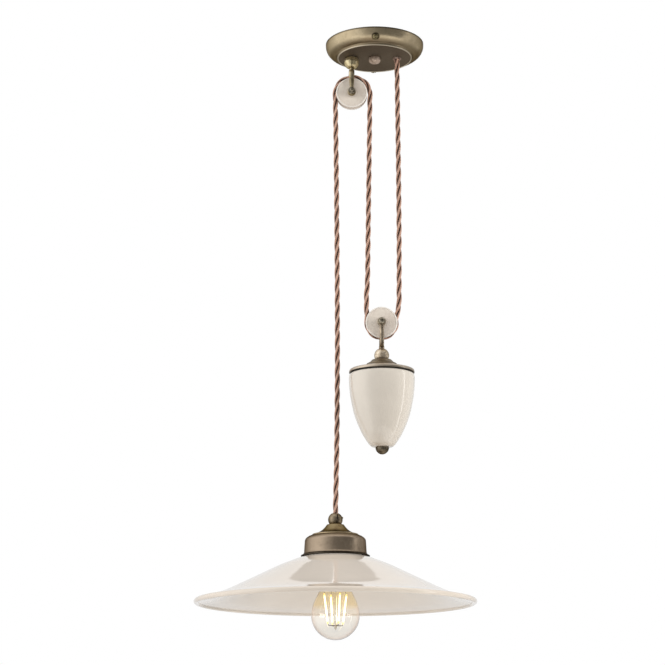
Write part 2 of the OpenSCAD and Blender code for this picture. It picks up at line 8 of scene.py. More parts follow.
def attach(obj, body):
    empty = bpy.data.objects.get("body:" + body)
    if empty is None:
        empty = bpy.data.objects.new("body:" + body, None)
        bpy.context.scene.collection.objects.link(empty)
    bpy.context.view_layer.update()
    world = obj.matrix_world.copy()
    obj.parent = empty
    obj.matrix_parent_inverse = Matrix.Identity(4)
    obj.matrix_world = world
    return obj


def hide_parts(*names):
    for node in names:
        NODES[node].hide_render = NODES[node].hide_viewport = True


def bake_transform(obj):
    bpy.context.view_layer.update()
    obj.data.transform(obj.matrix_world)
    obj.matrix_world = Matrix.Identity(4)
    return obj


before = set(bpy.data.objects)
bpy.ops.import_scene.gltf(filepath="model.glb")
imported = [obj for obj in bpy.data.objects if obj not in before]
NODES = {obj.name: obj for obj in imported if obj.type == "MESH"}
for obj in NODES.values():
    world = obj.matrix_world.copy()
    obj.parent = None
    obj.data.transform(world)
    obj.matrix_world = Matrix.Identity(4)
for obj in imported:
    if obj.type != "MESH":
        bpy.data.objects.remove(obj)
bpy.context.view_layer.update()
MM = 0.001

# ---------------------------------------------------------------- camera
cam_data = bpy.data.cameras.new("camera")
cam_data.sensor_width = 36.0
cam_data.sensor_fit = "HORIZONTAL"
cam_data.lens = 102.86
cam_data.clip_end = 60.0
cam = bpy.data.objects.new("camera", cam_data)
cam.location = (-0.0557, -2.364, -0.9456)
cam.rotation_euler = (math.radians(90 + 13.2), 0.0, 0.0)
bpy.context.scene.collection.objects.link(cam)
bpy.context.scene.camera = cam
bpy.context.scene.view_settings.view_transform = "Standard"

# ---------------------------------------------------------------- sizes, millimetres, as the construction has them
UX, UZ, LZ, EX = -30.5, -68.5, -379.0, 29.5
RUN, LOW, FR, LOOSE = 21.6, 18.6, 3.5, 1.3
WHEEL = 20.5
AX = UX - RUN
BX = UX + RUN + 2 * LOOSE
LX = (BX + EX) / 2 - 4.6
PLATE = -18.4
WZ = -444.2
GZ = -676.2
TOP = -675.8
BALL = -631.5
BZ = -780.3
LEG_Y, LEG_R, CROWN = 9.2, 2.2, 30.2


# ---------------------------------------------------------------- mesh helpers
def curve(points, n=6):
    """Smooth curve through points, as the construction draws it, only finer."""
    out = []
    for i in range(len(points) - 1):
        a, b = points[max(i - 1, 0)], points[i]
        c, d = points[i + 1], points[min(i + 2, len(points) - 1)]
        for k in range(n):
            t = k / n
            out.append(tuple(0.5 * (2 * b[j] + (c[j] - a[j]) * t + (2 * a[j] - 5 * b[j] + 4 * c[j] - d[j]) * t * t
                                    + (3 * b[j] - a[j] - 3 * c[j] + d[j]) * t ** 3) for j in (0, 1)))
    out.append(tuple(points[-1]))
    return out


def arc(cx, cy, r, a, b, n):
    return [(cx + r * math.cos(math.radians(a + (b - a) * i / n)), cy + r * math.sin(math.radians(a + (b - a) * i / n))) for i in range(n + 1)]


def aside(points, d):
    out = []
    for i, p in enumerate(points):
        q, s = points[min(i + 1, len(points) - 1)], points[max(i - 1, 0)]
        v = (q[0] - s[0], q[1] - s[1])
        k = math.hypot(*v) or 1.0
        out.append((p[0] + d * v[1] / k, p[1] - d * v[0] / k))
    return out


def rounded(points, r, n=4):
    """Closed outline with its corners rounded: r is one radius, or one for each corner."""
    out = []
    m = len(points)
    for i, p in enumerate(points):
        rr = r[i] if isinstance(r, (list, tuple)) else r
        a, b = points[i - 1], points[(i + 1) % m]
        if rr <= 0 or (p[0] == 0):
            out.append(tuple(p))
            continue
        u = (a[0] - p[0], a[1] - p[1])
        v = (b[0] - p[0], b[1] - p[1])
        lu, lv = math.hypot(*u), math.hypot(*v)
        u, v = (u[0] / lu, u[1] / lu), (v[0] / lv, v[1] / lv)
        ang = math.acos(max(-1, min(1, u[0] * v[0] + u[1] * v[1])))
        if ang > 3.0:
            out.append(tuple(p))
            continue
        cut = min(rr / math.tan(ang / 2), lu * 0.45, lv * 0.45)
        p0 = (p[0] + u[0] * cut, p[1] + u[1] * cut)
        p1 = (p[0] + v[0] * cut, p[1] + v[1] * cut)
        for k in range(n + 1):
            t = k / n
            out.append(tuple((1 - t) ** 2 * p0[j] + 2 * t * (1 - t) * p[j] + t * t * p1[j] for j in (0, 1)))
    return out


def finish_mesh(name, verts, faces, uvs=None, sharp=35.0):
    mesh = bpy.data.meshes.new(name)
    mesh.from_pydata([tuple(c * MM for c in v) for v in verts], [], faces)
    if uvs is not None:
        layer = mesh.uv_layers.new(name="uv")
        flat = [c for face in uvs for uv in face for c in uv]
        layer.data.foreach_set("uv", flat)
    mesh.polygons.foreach_set("use_smooth", [True] * len(mesh.polygons))
    mesh.validate()
    mesh.update()
    if sharp:
        mesh.set_sharp_from_angle(angle=math.radians(sharp))
    obj = bpy.data.objects.new(name, mesh)
    bpy.context.scene.collection.objects.link(obj)
    return obj


def merge(name, parts, sharp=35.0):
    """One mesh out of (verts, faces) parts, each a closed solid."""
    verts, faces = [], []
    for v, f in parts:
        k = len(verts)
        verts += [tuple(p) for p in v]
        faces += [tuple(i + k for i in q) for q in f]
    return finish_mesh(name, verts, faces, None, sharp)


def revolve(profile, seg=128, place=None):
    """(verts, faces) of a closed outline (r, z) turned about Z, outward faces; place maps each point."""
    area = sum(profile[i - 1][0] * profile[i][1] - profile[i][0] * profile[i - 1][1] for i in range(len(profile)))
    if area < 0:
        profile = profile[::-1]
    clean = []
    for p in profile:
        p = (max(p[0], 0.0), p[1])
        if not clean or math.hypot(p[0] - clean[-1][0], p[1] - clean[-1][1]) > 1e-5:
            clean.append(p)
    if math.hypot(clean[0][0] - clean[-1][0], clean[0][1] - clean[-1][1]) < 1e-5:
        clean.pop()
    verts, rings = [], []
    for r, z in clean:
        if r < 1e-6:
            rings.append([len(verts)] * seg)
            verts.append((0.0, 0.0, z))
        else:
            rings.append(list(range(len(verts), len(verts) + seg)))
            for k in range(seg):
                a = 2 * math.pi * k / seg
                verts.append((r * math.cos(a), r * math.sin(a), z))
    faces = []
    m = len(clean)
    for i in range(m):
        a, b = rings[i], rings[(i + 1) % m]
        if clean[i][0] < 1e-6 and clean[(i + 1) % m][0] < 1e-6:
            continue
        for k in range(seg):
            j = (k + 1) % seg
            q = [a[k], a[j], b[j], b[k]]
            q = [x for n, x in enumerate(q) if x != q[n - 1]]
            if len(q) > 2:
                faces.append(tuple(q))
    if place is not None:
        verts = [tuple(place @ Vector(v)) for v in verts]
    return verts, faces


def at(x=0, y=0, z=0):
    return Matrix.Translation((x, y, z))


ALONG_Y = Matrix.Rotation(math.radians(-90), 4, "X")    # local Z to +Y
ALONG_NY = Matrix.Rotation(math.radians(90), 4, "X")    # local Z to -Y


def lathe(name, profile, x=0.0, seg=128, sharp=35.0):
    v, f = revolve(profile, seg, at(x))
    return finish_mesh(name, v, f, None, sharp)


def sweep(points, radii, sides=20, start=None, wide=None):
    """(verts, faces) of a capped round tube through points, with a radius at each."""
    pts = [Vector(p) for p in points]
    verts, faces = [], []
    normal = None
    for i, p in enumerate(pts):
        t = (pts[min(i + 1, len(pts) - 1)] - pts[max(i - 1, 0)]).normalized()
        if normal is None:
            normal = Vector(start) if start else (Vector((1, 0, 0)) if abs(t.x) < 0.9 else Vector((0, 1, 0)))
        normal = (normal - t * normal.dot(t)).normalized()
        other = t.cross(normal)
        for k in range(sides):
            a = 2 * math.pi * k / sides
            verts.append(tuple(p + radii[i] * ((wide[i] if wide else 1.0) * math.cos(a) * normal + math.sin(a) * other)))
    n = len(pts)
    for i in range(n - 1):
        for k in range(sides):
            j = (k + 1) % sides
            faces.append((i * sides + k, i * sides + j, (i + 1) * sides + j, (i + 1) * sides + k))
    faces.append(tuple(reversed(range(sides))))
    faces.append(tuple((n - 1) * sides + k for k in range(sides)))
    return verts, faces


def box_part(lo, hi, bevel=0.0):
    x0, y0, z0 = lo
    x1, y1, z1 = hi
    v = [(x0, y0, z0), (x1, y0, z0), (x1, y1, z0), (x0, y1, z0), (x0, y0, z1), (x1, y0, z1), (x1, y1, z1), (x0, y1, z1)]
    f = [(0, 3, 2, 1), (4, 5, 6, 7), (0, 1, 5, 4), (1, 2, 6, 5), (2, 3, 7, 6), (3, 0, 4, 7)]
    return v, f


def modify(obj, kind, **settings):
    m = obj.modifiers.new(kind.lower(), kind)
    for k, v in settings.items():
        setattr(m, k, v)
    return m


def apply_modifiers(obj):
    dg = bpy.context.evaluated_depsgraph_get()
    new = bpy.data.meshes.new_from_object(obj.evaluated_get(dg))
    obj.modifiers.clear()
    old, obj.data = obj.data, new
    bpy.data.meshes.remove(old)
    return obj


def cut(obj, cutter):
    m = modify(obj, "BOOLEAN", operation="DIFFERENCE", solver="EXACT", object=cutter)
    apply_modifiers(obj)
    bpy.data.objects.remove(cutter)
    return obj


def soften(obj, width, segments=3, angle=35.0):
    """Rounds a mesh's sharp edges and smooths its shading."""
    modify(obj, "BEVEL", width=width * MM, segments=segments, limit_method="ANGLE", angle_limit=math.radians(angle), use_clamp_overlap=True)
    apply_modifiers(obj)
    obj.data.polygons.foreach_set("use_smooth", [True] * len(obj.data.polygons))
    obj.data.set_sharp_from_angle(angle=math.radians(50))
    return obj


# ---------------------------------------------------------------- materials
def srgb(r, g, b):
    out = []
    for c in (r, g, b):
        c = c / 255
        out.append(c / 12.92 if c <= 0.04045 else ((c + 0.055) / 1.055) ** 2.4)
    return (*out, 1.0)


class Mat:
    """A small wrapper that keeps node building short."""

    def __init__(self, name, **sockets):
        self.m = bpy.data.materials.new(name)
        self.m.use_nodes = True
        self.t = self.m.node_tree
        self.t.nodes.clear()
        self.out = self.t.nodes.new("ShaderNodeOutputMaterial")
        self.p = self.t.nodes.new("ShaderNodeBsdfPrincipled")
        self.t.links.new(self.p.outputs[0], self.out.inputs["Surface"])
        for k, v in sockets.items():
            self.p.inputs[k.replace("_", " ")].default_value = v

    def node(self, kind, **settings):
        n = self.t.nodes.new(kind)
        for k, v in settings.items():
            setattr(n, k, v)
        return n

    def link(self, a, b):
        self.t.links.new(a, b)

    def put(self, socket, value):
        if hasattr(value, "is_output"):
            self.link(value, socket)
        else:
            socket.default_value = value

    def math(self, op, a, b=0.0, c=None, clamp=False):
        n = self.node("ShaderNodeMath", operation=op, use_clamp=clamp)
        self.put(n.inputs[0], a)
        self.put(n.inputs[1], b)
        if c is not None:
            self.put(n.inputs[2], c)
        return n.outputs[0]

    def span(self, value, lo, hi, a=0.0, b=1.0, smooth=True):
        if hi < lo:
            lo, hi, a, b = hi, lo, b, a
        n = self.node("ShaderNodeMapRange", interpolation_type="SMOOTHSTEP" if smooth else "LINEAR", clamp=True)
        self.put(n.inputs["Value"], value)
        self.put(n.inputs["From Min"], lo)
        self.put(n.inputs["From Max"], hi)
        self.put(n.inputs["To Min"], a)
        self.put(n.inputs["To Max"], b)
        return n.outputs["Result"]

    def mix(self, fac, a, b, mode="MIX"):
        n = self.node("ShaderNodeMix", data_type="RGBA", blend_type=mode)
        self.put(n.inputs["Factor"], fac)
        self.put(n.inputs["A"] if False else n.inputs[6], a)
        self.put(n.inputs[7], b)
        return n.outputs[2]

    def noise(self, vector, scale, detail=3.0, rough=0.55, distort=0.0):
        n = self.node("ShaderNodeTexNoise")
        self.link(vector, n.inputs["Vector"])
        n.inputs["Scale"].default_value = scale
        n.inputs["Detail"].default_value = detail
        n.inputs["Roughness"].default_value = rough
        n.inputs["Distortion"].default_value = distort
        return n.outputs["Fac"]

    def place(self, x=0.0, y=0.0, z=0.0):
        """Object coordinates in millimetres from a point: vector, x, y, z."""
        tc = self.node("ShaderNodeTexCoord")
        s = self.node("ShaderNodeVectorMath", operation="MULTIPLY_ADD")
        self.link(tc.outputs["Object"], s.inputs[0])
        s.inputs[1].default_value = (1000, 1000, 1000)
        s.inputs[2].default_value = (-x, -y, -z)
        sep = self.node("ShaderNodeSeparateXYZ")
        self.link(s.outputs[0], sep.inputs[0])
        return s.outputs[0], sep.outputs[0], sep.outputs[1], sep.outputs[2]

    def vec(self, x, y, z):
        n = self.node("ShaderNodeCombineXYZ")
        for s, v in zip(n.inputs, (x, y, z)):
            self.put(s, v)
        return n.outputs[0]

    def bump(self, height, distance, strength=1.0, normal=None):
        n = self.node("ShaderNodeBump")
        n.inputs["Distance"].default_value = distance
        n.inputs["Strength"].default_value = strength
        self.link(height, n.inputs["Height"])
        if normal is not None:
            self.link(normal, n.inputs["Normal"])
        return n.outputs[0]

    def base(self, v):
        self.put(self.p.inputs["Base Color"], v)
        return self

    def rough(self, v):
        self.put(self.p.inputs["Roughness"], v)
        return self

    def normal(self, v):
        self.put(self.p.inputs["Normal"], v)
        return self


def turned_metal(name, x, light, mid, dark, rough=0.34, z=0.0, mottle=0.5, patch=26.0, zones=(), turn=0.75, dull=None, screw_shade=None):
    """Brass spun about an axis: fine tool marks and a grain that run round it, and soft uneven age.
    A zone is (what, lo, hi, colour, amount): it fades in from lo to hi of the radius r or the height z."""
    m = Mat(name, Metallic=1.0)
    v, px, py, pz = m.place(x, 0.0, z)
    r = m.math("SQRT", m.math("ADD", m.math("MULTIPLY", px, px), m.math("MULTIPLY", py, py)))
    s = m.math("SUBTRACT", m.math("MULTIPLY", r, 1.3), pz)
    inv = m.math("DIVIDE", 1.0, m.math("MAXIMUM", r, 0.5))
    c, d = m.math("MULTIPLY", px, inv), m.math("MULTIPLY", py, inv)
    rings = m.noise(m.vec(s, m.math("MULTIPLY", c, 0.25), m.math("MULTIPLY", d, 0.25)), 2.6, 4.0, 0.7)
    grain = m.noise(m.vec(s, m.math("MULTIPLY", c, 2.2), m.math("MULTIPLY", d, 2.2)), 5.5, 2.0, 0.6)
    blot = m.noise(v, 1.6 / patch, 3.0, 0.5, 0.3)
    fine = m.noise(v, 0.35, 4.0, 0.6)
    spots = m.noise(v, 1.1, 3.0, 0.6)
    tone = m.math("ADD", m.math("MULTIPLY", blot, 0.6), m.math("MULTIPLY", fine, 0.4))
    tone = m.math("ADD", tone, m.math("MULTIPLY", m.math("SUBTRACT", rings, 0.5), 0.22))
    col = m.mix(m.math("MULTIPLY", m.span(tone, 0.47, 0.30), mottle), mid, dark)
    col = m.mix(m.math("MULTIPLY", m.span(tone, 0.50, 0.66), mottle), col, light)
    col = m.mix(m.math("MULTIPLY", m.span(spots, 0.70, 0.80), 0.35), col, dark)
    wob = m.math("MULTIPLY", m.math("SUBTRACT", fine, 0.5), 0.5)
    for what, lo, hi, colour, amount in zones:
        q = m.math("ADD", r if what == "r" else pz, wob)
        col = m.mix(m.math("MULTIPLY", m.span(q, lo, hi), amount), col, colour)
    # darkens the metal round the two side screws: painted shade round their heads
    if screw_shade:
        far, low, lo, hi = screw_shade
        fy, fz = m.math("SUBTRACT", m.math("ABSOLUTE", py), far), m.math("SUBTRACT", pz, low)
        away = m.math("SQRT", m.math("ADD", m.math("MULTIPLY", px, px), m.math("ADD", m.math("MULTIPLY", fy, fy), m.math("MULTIPLY", fz, fz))))
        col = m.mix(m.math("MULTIPLY", m.span(away, hi, lo), 0.85), col, tuple(k * 0.3 if n < 3 else 1.0 for n, k in enumerate(dark)))
    m.base(col)
    m.p.inputs["Specular Tint"].default_value = (1.0 - 1.10 * turn, 1.0 - 1.10 * turn, 1.0 - 1.08 * turn, 1.0)
    rough = m.math("ADD", rough, m.math("ADD", m.math("MULTIPLY", m.math("SUBTRACT", fine, 0.5), 0.14), m.math("MULTIPLY", m.math("SUBTRACT", grain, 0.5), 0.12)))
    if dull:
        rough = m.math("ADD", rough, m.math("MULTIPLY", m.span(r, dull[0], dull[1]), dull[2]))
    m.rough(rough)
    h = m.math("ADD", m.math("MULTIPLY", rings, 0.5), m.math("MULTIPLY", grain, 0.35))
    m.normal(m.bump(h, 0.00005, 0.5))
    m.p.inputs["Anisotropic"].default_value = 0.3
    return m.m


def cast_metal(name, light, mid, dark, rough=0.34, size=7.0, metallic=1.0, bright=0.5):
    """Small turned or bent metal pieces: soft patches, tiny pits, handling wear."""
    m = Mat(name, Metallic=metallic)
    v, px, py, pz = m.place()
    blot = m.noise(v, 1.0 / size, 4.0, 0.6, 0.4)
    fine = m.noise(v, 1.1, 4.0, 0.7)
    scratch = m.noise(m.vec(m.math("MULTIPLY", px, 3.0), m.math("MULTIPLY", py, 3.0), m.math("MULTIPLY", pz, 0.35)), 1.5, 3.0, 0.7)
    tone = m.math("ADD", m.math("MULTIPLY", blot, 0.65), m.math("MULTIPLY", fine, 0.35))
    col = m.mix(m.span(tone, 0.36, 0.56), dark, mid)
    col = m.mix(m.math("MULTIPLY", m.span(tone, 0.5, 0.68), bright * 2), col, light)
    m.base(col)
    m.p.inputs["Specular Tint"].default_value = (0.2, 0.17, 0.13, 1.0)
    m.rough(m.math("ADD", rough, m.math("MULTIPLY", m.math("SUBTRACT", fine, 0.5), 0.24)))
    m.normal(m.bump(m.math("ADD", m.math("MULTIPLY", fine, 0.5), m.math("MULTIPLY", scratch, 0.5)), 0.00005, 0.5))
    return m.m


def glaze(name, colour, thin, x, rough=0.06, edge=None, dark_bands_z=None, speck=0.5, coat=0.02):
    """Glazed ceramic: a clear coat over an uneven cream body, darker in the bands given by radius (edge) and by height,
    as set where it is used.
    """
    m = Mat(name)
    v, px, py, pz = m.place(x)
    cloud = m.noise(v, 0.022, 3.0, 0.5, 0.3)
    fine = m.noise(v, 0.35, 4.0, 0.6)
    dust = m.noise(v, 1.7, 2.0, 0.5)
    r = m.math("SQRT", m.math("ADD", m.math("MULTIPLY", px, px), m.math("MULTIPLY", py, py)))
    col = m.mix(m.span(cloud, 0.35, 0.68), colour, tuple(c * 0.965 if i < 3 else 1.0 for i, c in enumerate(colour)))
    col = m.mix(m.math("MULTIPLY", m.span(fine, 0.5, 0.8), 0.10), col, thin)
    col = m.mix(m.math("MULTIPLY", m.span(dust, 0.76, 0.82), 0.35 * speck), col, thin)
    if edge is not None:
        wob = m.math("ADD", r, m.math("MULTIPLY", m.math("SUBTRACT", m.noise(v, 0.06, 3.0), 0.5), 2.2))
        for lo, hi, amount in edge:
            band = m.span(wob, lo, hi)
            col = m.mix(m.math("MULTIPLY", band, amount), col, thin)
    if dark_bands_z is not None:
        wob = m.math("ADD", pz, m.math("MULTIPLY", m.math("SUBTRACT", m.noise(v, 0.08, 3.0), 0.5), 1.6))
        for lo, hi, amount in dark_bands_z:
            band = m.span(wob, lo, hi)
            col = m.mix(m.math("MULTIPLY", band, amount), col, thin)
    m.p.inputs["Coat Weight"].default_value = 0.8
    m.base(col)
    m.rough(m.math("ADD", rough, m.math("MULTIPLY", fine, 0.05)))
    wave = m.noise(v, 0.035, 2.0, 0.4)
    h = m.math("ADD", m.math("MULTIPLY", wave, 1.0), m.math("MULTIPLY", fine, 0.02))
    m.normal(m.bump(h, 0.0003, 0.6))
    m.p.inputs["Coat Roughness"].default_value = coat
    m.p.inputs["Specular Tint"].default_value = (1.0, 0.965, 0.92, 1.0)
    m.p.inputs["Coat IOR"].default_value = 1.5
    m.p.inputs["IOR"].default_value = 1.5
    return m.m


def bisque(name, x, z):
    """Unglazed pale ceramic of the pulleys: dry, speckled, with turning marks, a painted highlight on its raised rim,
    and darker in the groove and round the hub.
    """
    m = Mat(name)
    v, px, py, pz = m.place(x, 0.0, z)
    r = m.math("SQRT", m.math("ADD", m.math("MULTIPLY", px, px), m.math("MULTIPLY", pz, pz)))
    cloud = m.noise(v, 0.09, 4.0, 0.6)
    grain = m.noise(v, 2.2, 4.0, 0.7)
    rings = m.noise(m.vec(r, 0.0, 0.0), 1.6, 3.0, 0.6)
    a, b, c = srgb(234, 223, 209), srgb(221, 208, 194), srgb(239, 232, 223)
    col = m.mix(m.span(cloud, 0.35, 0.66), a, b)
    col = m.mix(m.math("MULTIPLY", m.span(grain, 0.56, 0.74), 0.38), col, srgb(170, 158, 144))
    col = m.mix(m.math("MULTIPLY", m.span(rings, 0.45, 0.7), 0.22), col, b)
    # painted highlight along the raised rim of each face
    border_highlight = m.math("MULTIPLY", m.span(r, 18.3, 19.0), m.span(r, 21.2, 20.3))
    col = m.mix(m.math("MULTIPLY", border_highlight, 0.75), col, c)
    groove = m.math("MULTIPLY", m.span(r, 20.2, 19.4), m.span(m.math("ABSOLUTE", py), 4.6, 4.0))
    col = m.mix(m.math("MULTIPLY", groove, 0.4), col, srgb(150, 132, 116))
    hub = m.span(r, 8.4, 6.4)
    col = m.mix(m.math("MULTIPLY", hub, 0.35), col, srgb(150, 140, 124))
    m.base(col)
    m.rough(m.math("ADD", 0.52, m.math("MULTIPLY", grain, 0.2)))
    m.normal(m.bump(m.math("ADD", grain, m.math("MULTIPLY", rings, 0.6)), 0.00008, 0.6))
    return m.m


def braid(name, light, mid, dark):
    """Braided rayon on each twisted core: over-and-under yarns from the UVs, with a silky sheen."""
    m = Mat(name)
    uv = m.node("ShaderNodeUVMap", uv_map="uv")
    sep = m.node("ShaderNodeSeparateXYZ")
    m.link(uv.outputs[0], sep.inputs[0])
    u, v = sep.outputs[0], sep.outputs[1]
    n = 9.0
    a = m.math("ADD", m.math("MULTIPLY", u, n), m.math("MULTIPLY", v, n))
    b = m.math("SUBTRACT", m.math("MULTIPLY", u, n), m.math("MULTIPLY", v, n))
    fa, fb = m.math("FRACT", m.math("ADD", a, 100.0)), m.math("FRACT", m.math("ADD", b, 100.0))
    ia, ib = m.math("FLOOR", m.math("ADD", a, 100.0)), m.math("FLOOR", m.math("ADD", b, 100.0))
    over = m.math("MODULO", m.math("ADD", ia, ib), 2.0)
    sa, sb = m.math("SINE", m.math("MULTIPLY", fa, math.pi)), m.math("SINE", m.math("MULTIPLY", fb, math.pi))
    ra = m.math("MULTIPLY", m.math("POWER", sa, 0.7), m.math("ADD", 0.45, m.math("MULTIPLY", sb, 0.55)))
    rb = m.math("MULTIPLY", m.math("POWER", sb, 0.7), m.math("ADD", 0.45, m.math("MULTIPLY", sa, 0.55)))
    h = m.math("ADD", m.math("MULTIPLY", ra, over), m.math("MULTIPLY", rb, m.math("SUBTRACT", 1.0, over)))
    pos, px, py, pz = m.place()
    threads = m.noise(m.vec(m.math("MULTIPLY", u, 60.0), m.math("MULTIPLY", v, 60.0), 0.0), 1.0, 2.0, 0.6)
    slow = m.noise(pos, 0.05, 3.0, 0.6)
    col = m.mix(m.span(h, 0.12, 0.75), dark, mid)
    col = m.mix(m.math("MULTIPLY", m.span(h, 0.62, 1.0), 0.55), col, light)
    col = m.mix(m.math("MULTIPLY", m.span(threads, 0.45, 0.75), 0.25), col, light)
    col = m.mix(m.math("MULTIPLY", m.span(slow, 0.4, 0.7), 0.14), col, dark)
    # painted shade where each core turns in towards its neighbours, and a painted highlight along each core's crown
    core_shading = m.math("COSINE", m.math("MULTIPLY", u, 2 * math.pi))
    col = m.mix(m.span(core_shading, 0.62, -0.30), col, dark)
    col = m.mix(m.math("MULTIPLY", m.span(core_shading, 0.78, 1.0), 0.35), col, light)
    m.base(col)
    m.rough(m.math("ADD", 0.36, m.math("MULTIPLY", threads, 0.16)))
    m.normal(m.bump(m.math("ADD", h, m.math("MULTIPLY", threads, 0.25)), 0.00016, 0.75))
    m.p.inputs["Sheen Weight"].default_value = 0.35
    m.p.inputs["Sheen Roughness"].default_value = 0.35
    m.p.inputs["Sheen Tint"].default_value = srgb(235, 200, 180)
    m.p.inputs["Specular IOR Level"].default_value = 0.6
    return m.m


def moulded(name, colour, second, rough=0.42, coat=0.0):
    m = Mat(name)
    v, px, py, pz = m.place()
    cloud = m.noise(v, 0.08, 3.0)
    grain = m.noise(v, 3.0, 3.0, 0.6)
    m.base(m.mix(m.span(cloud, 0.35, 0.7), colour, second))
    m.rough(m.math("ADD", rough, m.math("MULTIPLY", grain, 0.14)))
    m.normal(m.bump(grain, 0.00004, 0.5))
    m.p.inputs["Coat Weight"].default_value = coat
    m.p.inputs["Coat Roughness"].default_value = 0.05
    return m.m


def steel(name, colour=(188, 190, 192), rough=0.34, brush=(0.3, 4.0, 4.0)):
    m = Mat(name, Metallic=1.0)
    v, px, py, pz = m.place()
    line = m.noise(m.vec(m.math("MULTIPLY", px, brush[0]), m.math("MULTIPLY", py, brush[1]), m.math("MULTIPLY", pz, brush[2])), 1.4, 3.0, 0.7)
    cloud = m.noise(v, 0.11, 4.0, 0.6)
    a = srgb(*colour)
    b = srgb(*[c * 0.78 for c in colour])
    m.base(m.mix(m.span(cloud, 0.35, 0.7), a, b))
    m.rough(m.math("ADD", rough, m.math("MULTIPLY", line, 0.2)))
    m.normal(m.bump(line, 0.00004, 0.5))
    return m.m


ROSE_TONES = (srgb(226, 208, 174), srgb(190, 173, 142), srgb(124, 109, 86))
GALL_TONES = (srgb(206, 187, 162), srgb(170, 152, 131), srgb(112, 98, 82))
BRONZE_TONES = (srgb(222, 206, 182), srgb(182, 166, 143), srgb(118, 104, 86))
BRIGHT_TONES = (srgb(244, 236, 210), srgb(226, 212, 172), srgb(170, 150, 110))

M = {}
# Zones on the rose: the dark band at the top edge and the dark band low in the cove are painted shade, the light line
# on the ridge is a painted highlight, and the darker plate inside the ridge is partly dark patina, partly painted shade
# for the dark reflection the plate shows.
M["rose"] = turned_metal("aged_brass_rose", 0.0, *ROSE_TONES, rough=0.33, mottle=0.45, patch=34.0, dull=(48.4, 47.2, 0.24), screw_shade=(60.5, -12.0, 4.5, 6.0), zones=[
    ("z", -2.8, -0.6, srgb(80, 70, 54), 0.9), ("z", -11.5, -15.5, srgb(112, 98, 78), 0.7), ("z", PLATE + 0.3, PLATE - 0.3, srgb(208, 196, 174), 0.9), ("r", 47.75, 47.35, srgb(112, 101, 88), 0.92)])
# Zones on the gallery: the light band at the step above the shoulder is a painted highlight, the dark band at the foot
# is painted shadow where it sits on the shade, and the upper shoulder and the dome above the step are darker than the
# cylinder.
M["gallery"] = turned_metal("aged_brass_gallery", AX, *GALL_TONES, rough=0.33, patch=30.0, mottle=0.35, zones=[
    ("z", GZ + 19.5, GZ + 23.5, srgb(130, 115, 94), 0.7), ("z", GZ + 24.6, GZ + 25.2, srgb(188, 168, 134), 1.0), ("z", GZ + 26.2, GZ + 27.0, srgb(146, 128, 97), 1.0), ("z", GZ + 30.0, GZ + 34.5, srgb(152, 134, 100), 0.7), ("z", GZ + 2.6, GZ + 0.6, srgb(84, 76, 64), 0.9)])
# Zones on the lid: the light band on the flange is a painted highlight, the dark line at its lower edge is painted
# shadow in the gap over the body, and the boss above the flange is darker.
M["lid"] = turned_metal("aged_brass_lid", LX, *GALL_TONES, rough=0.36, patch=20.0, mottle=0.3, turn=0.2, zones=[
    ("z", WZ + 8.6, WZ + 7.4, srgb(214, 200, 182), 0.8), ("z", WZ + 0.7, WZ + 0.2, srgb(70, 64, 52), 0.9), ("z", WZ + 8.6, WZ + 10.0, srgb(132, 118, 96), 0.9)])
M["bronze"] = cast_metal("dark_bronze", *BRONZE_TONES, rough=0.34)
M["finial"] = cast_metal("finial_bronze", srgb(164, 152, 134), srgb(120, 110, 94), srgb(66, 59, 48), rough=0.4, size=12.0, bright=0.3)
M["screw"] = cast_metal("screw_brass", srgb(176, 164, 128), srgb(130, 118, 88), srgb(52, 46, 32), rough=0.34, size=4.0)
M["nut"] = cast_metal("nut_bronze", srgb(232, 224, 204), srgb(180, 171, 152), srgb(112, 103, 88), rough=0.34, size=4.0)
M["bright"] = cast_metal("bright_brass", *BRIGHT_TONES, metallic=0.9, rough=0.3, size=14.0, bright=0.35)
M["arm"] = cast_metal("fork_brass", srgb(232, 216, 184), srgb(198, 183, 150), srgb(128, 115, 90), rough=0.36, size=12.0, bright=0.35)
M["ball"] = cast_metal("satin_brass_ball", srgb(252, 240, 222), srgb(236, 220, 196), srgb(176, 158, 132), rough=0.42, size=12.0, bright=0.35, metallic=0.94)
M["grip"] = cast_metal("grip_bronze", srgb(190, 174, 150), srgb(152, 137, 114), srgb(100, 87, 68), rough=0.38, size=12.0, bright=0.35)
M["bush"] = cast_metal("bush_bronze", srgb(232, 208, 194), srgb(186, 162, 148), srgb(88, 68, 58), rough=0.4, size=4.0, metallic=0.8)
M["stone"] = cast_metal("stone_bronze", srgb(226, 208, 192), srgb(198, 178, 160), srgb(136, 116, 100), rough=0.48, size=5.0, metallic=0.6)
CREAM, THIN = srgb(229, 217, 203), srgb(204, 189, 171)
# On the shade the outer band darkens the rim, where the glaze runs thin; the inner band darkens the glaze just outside
# the gallery: painted shade under the gallery's lip.
M["shade"] = glaze("cream_glaze_shade", CREAM, THIN, AX, edge=[(169.5, 173.0, 0.22), (44.0, 41.0, 0.35)])
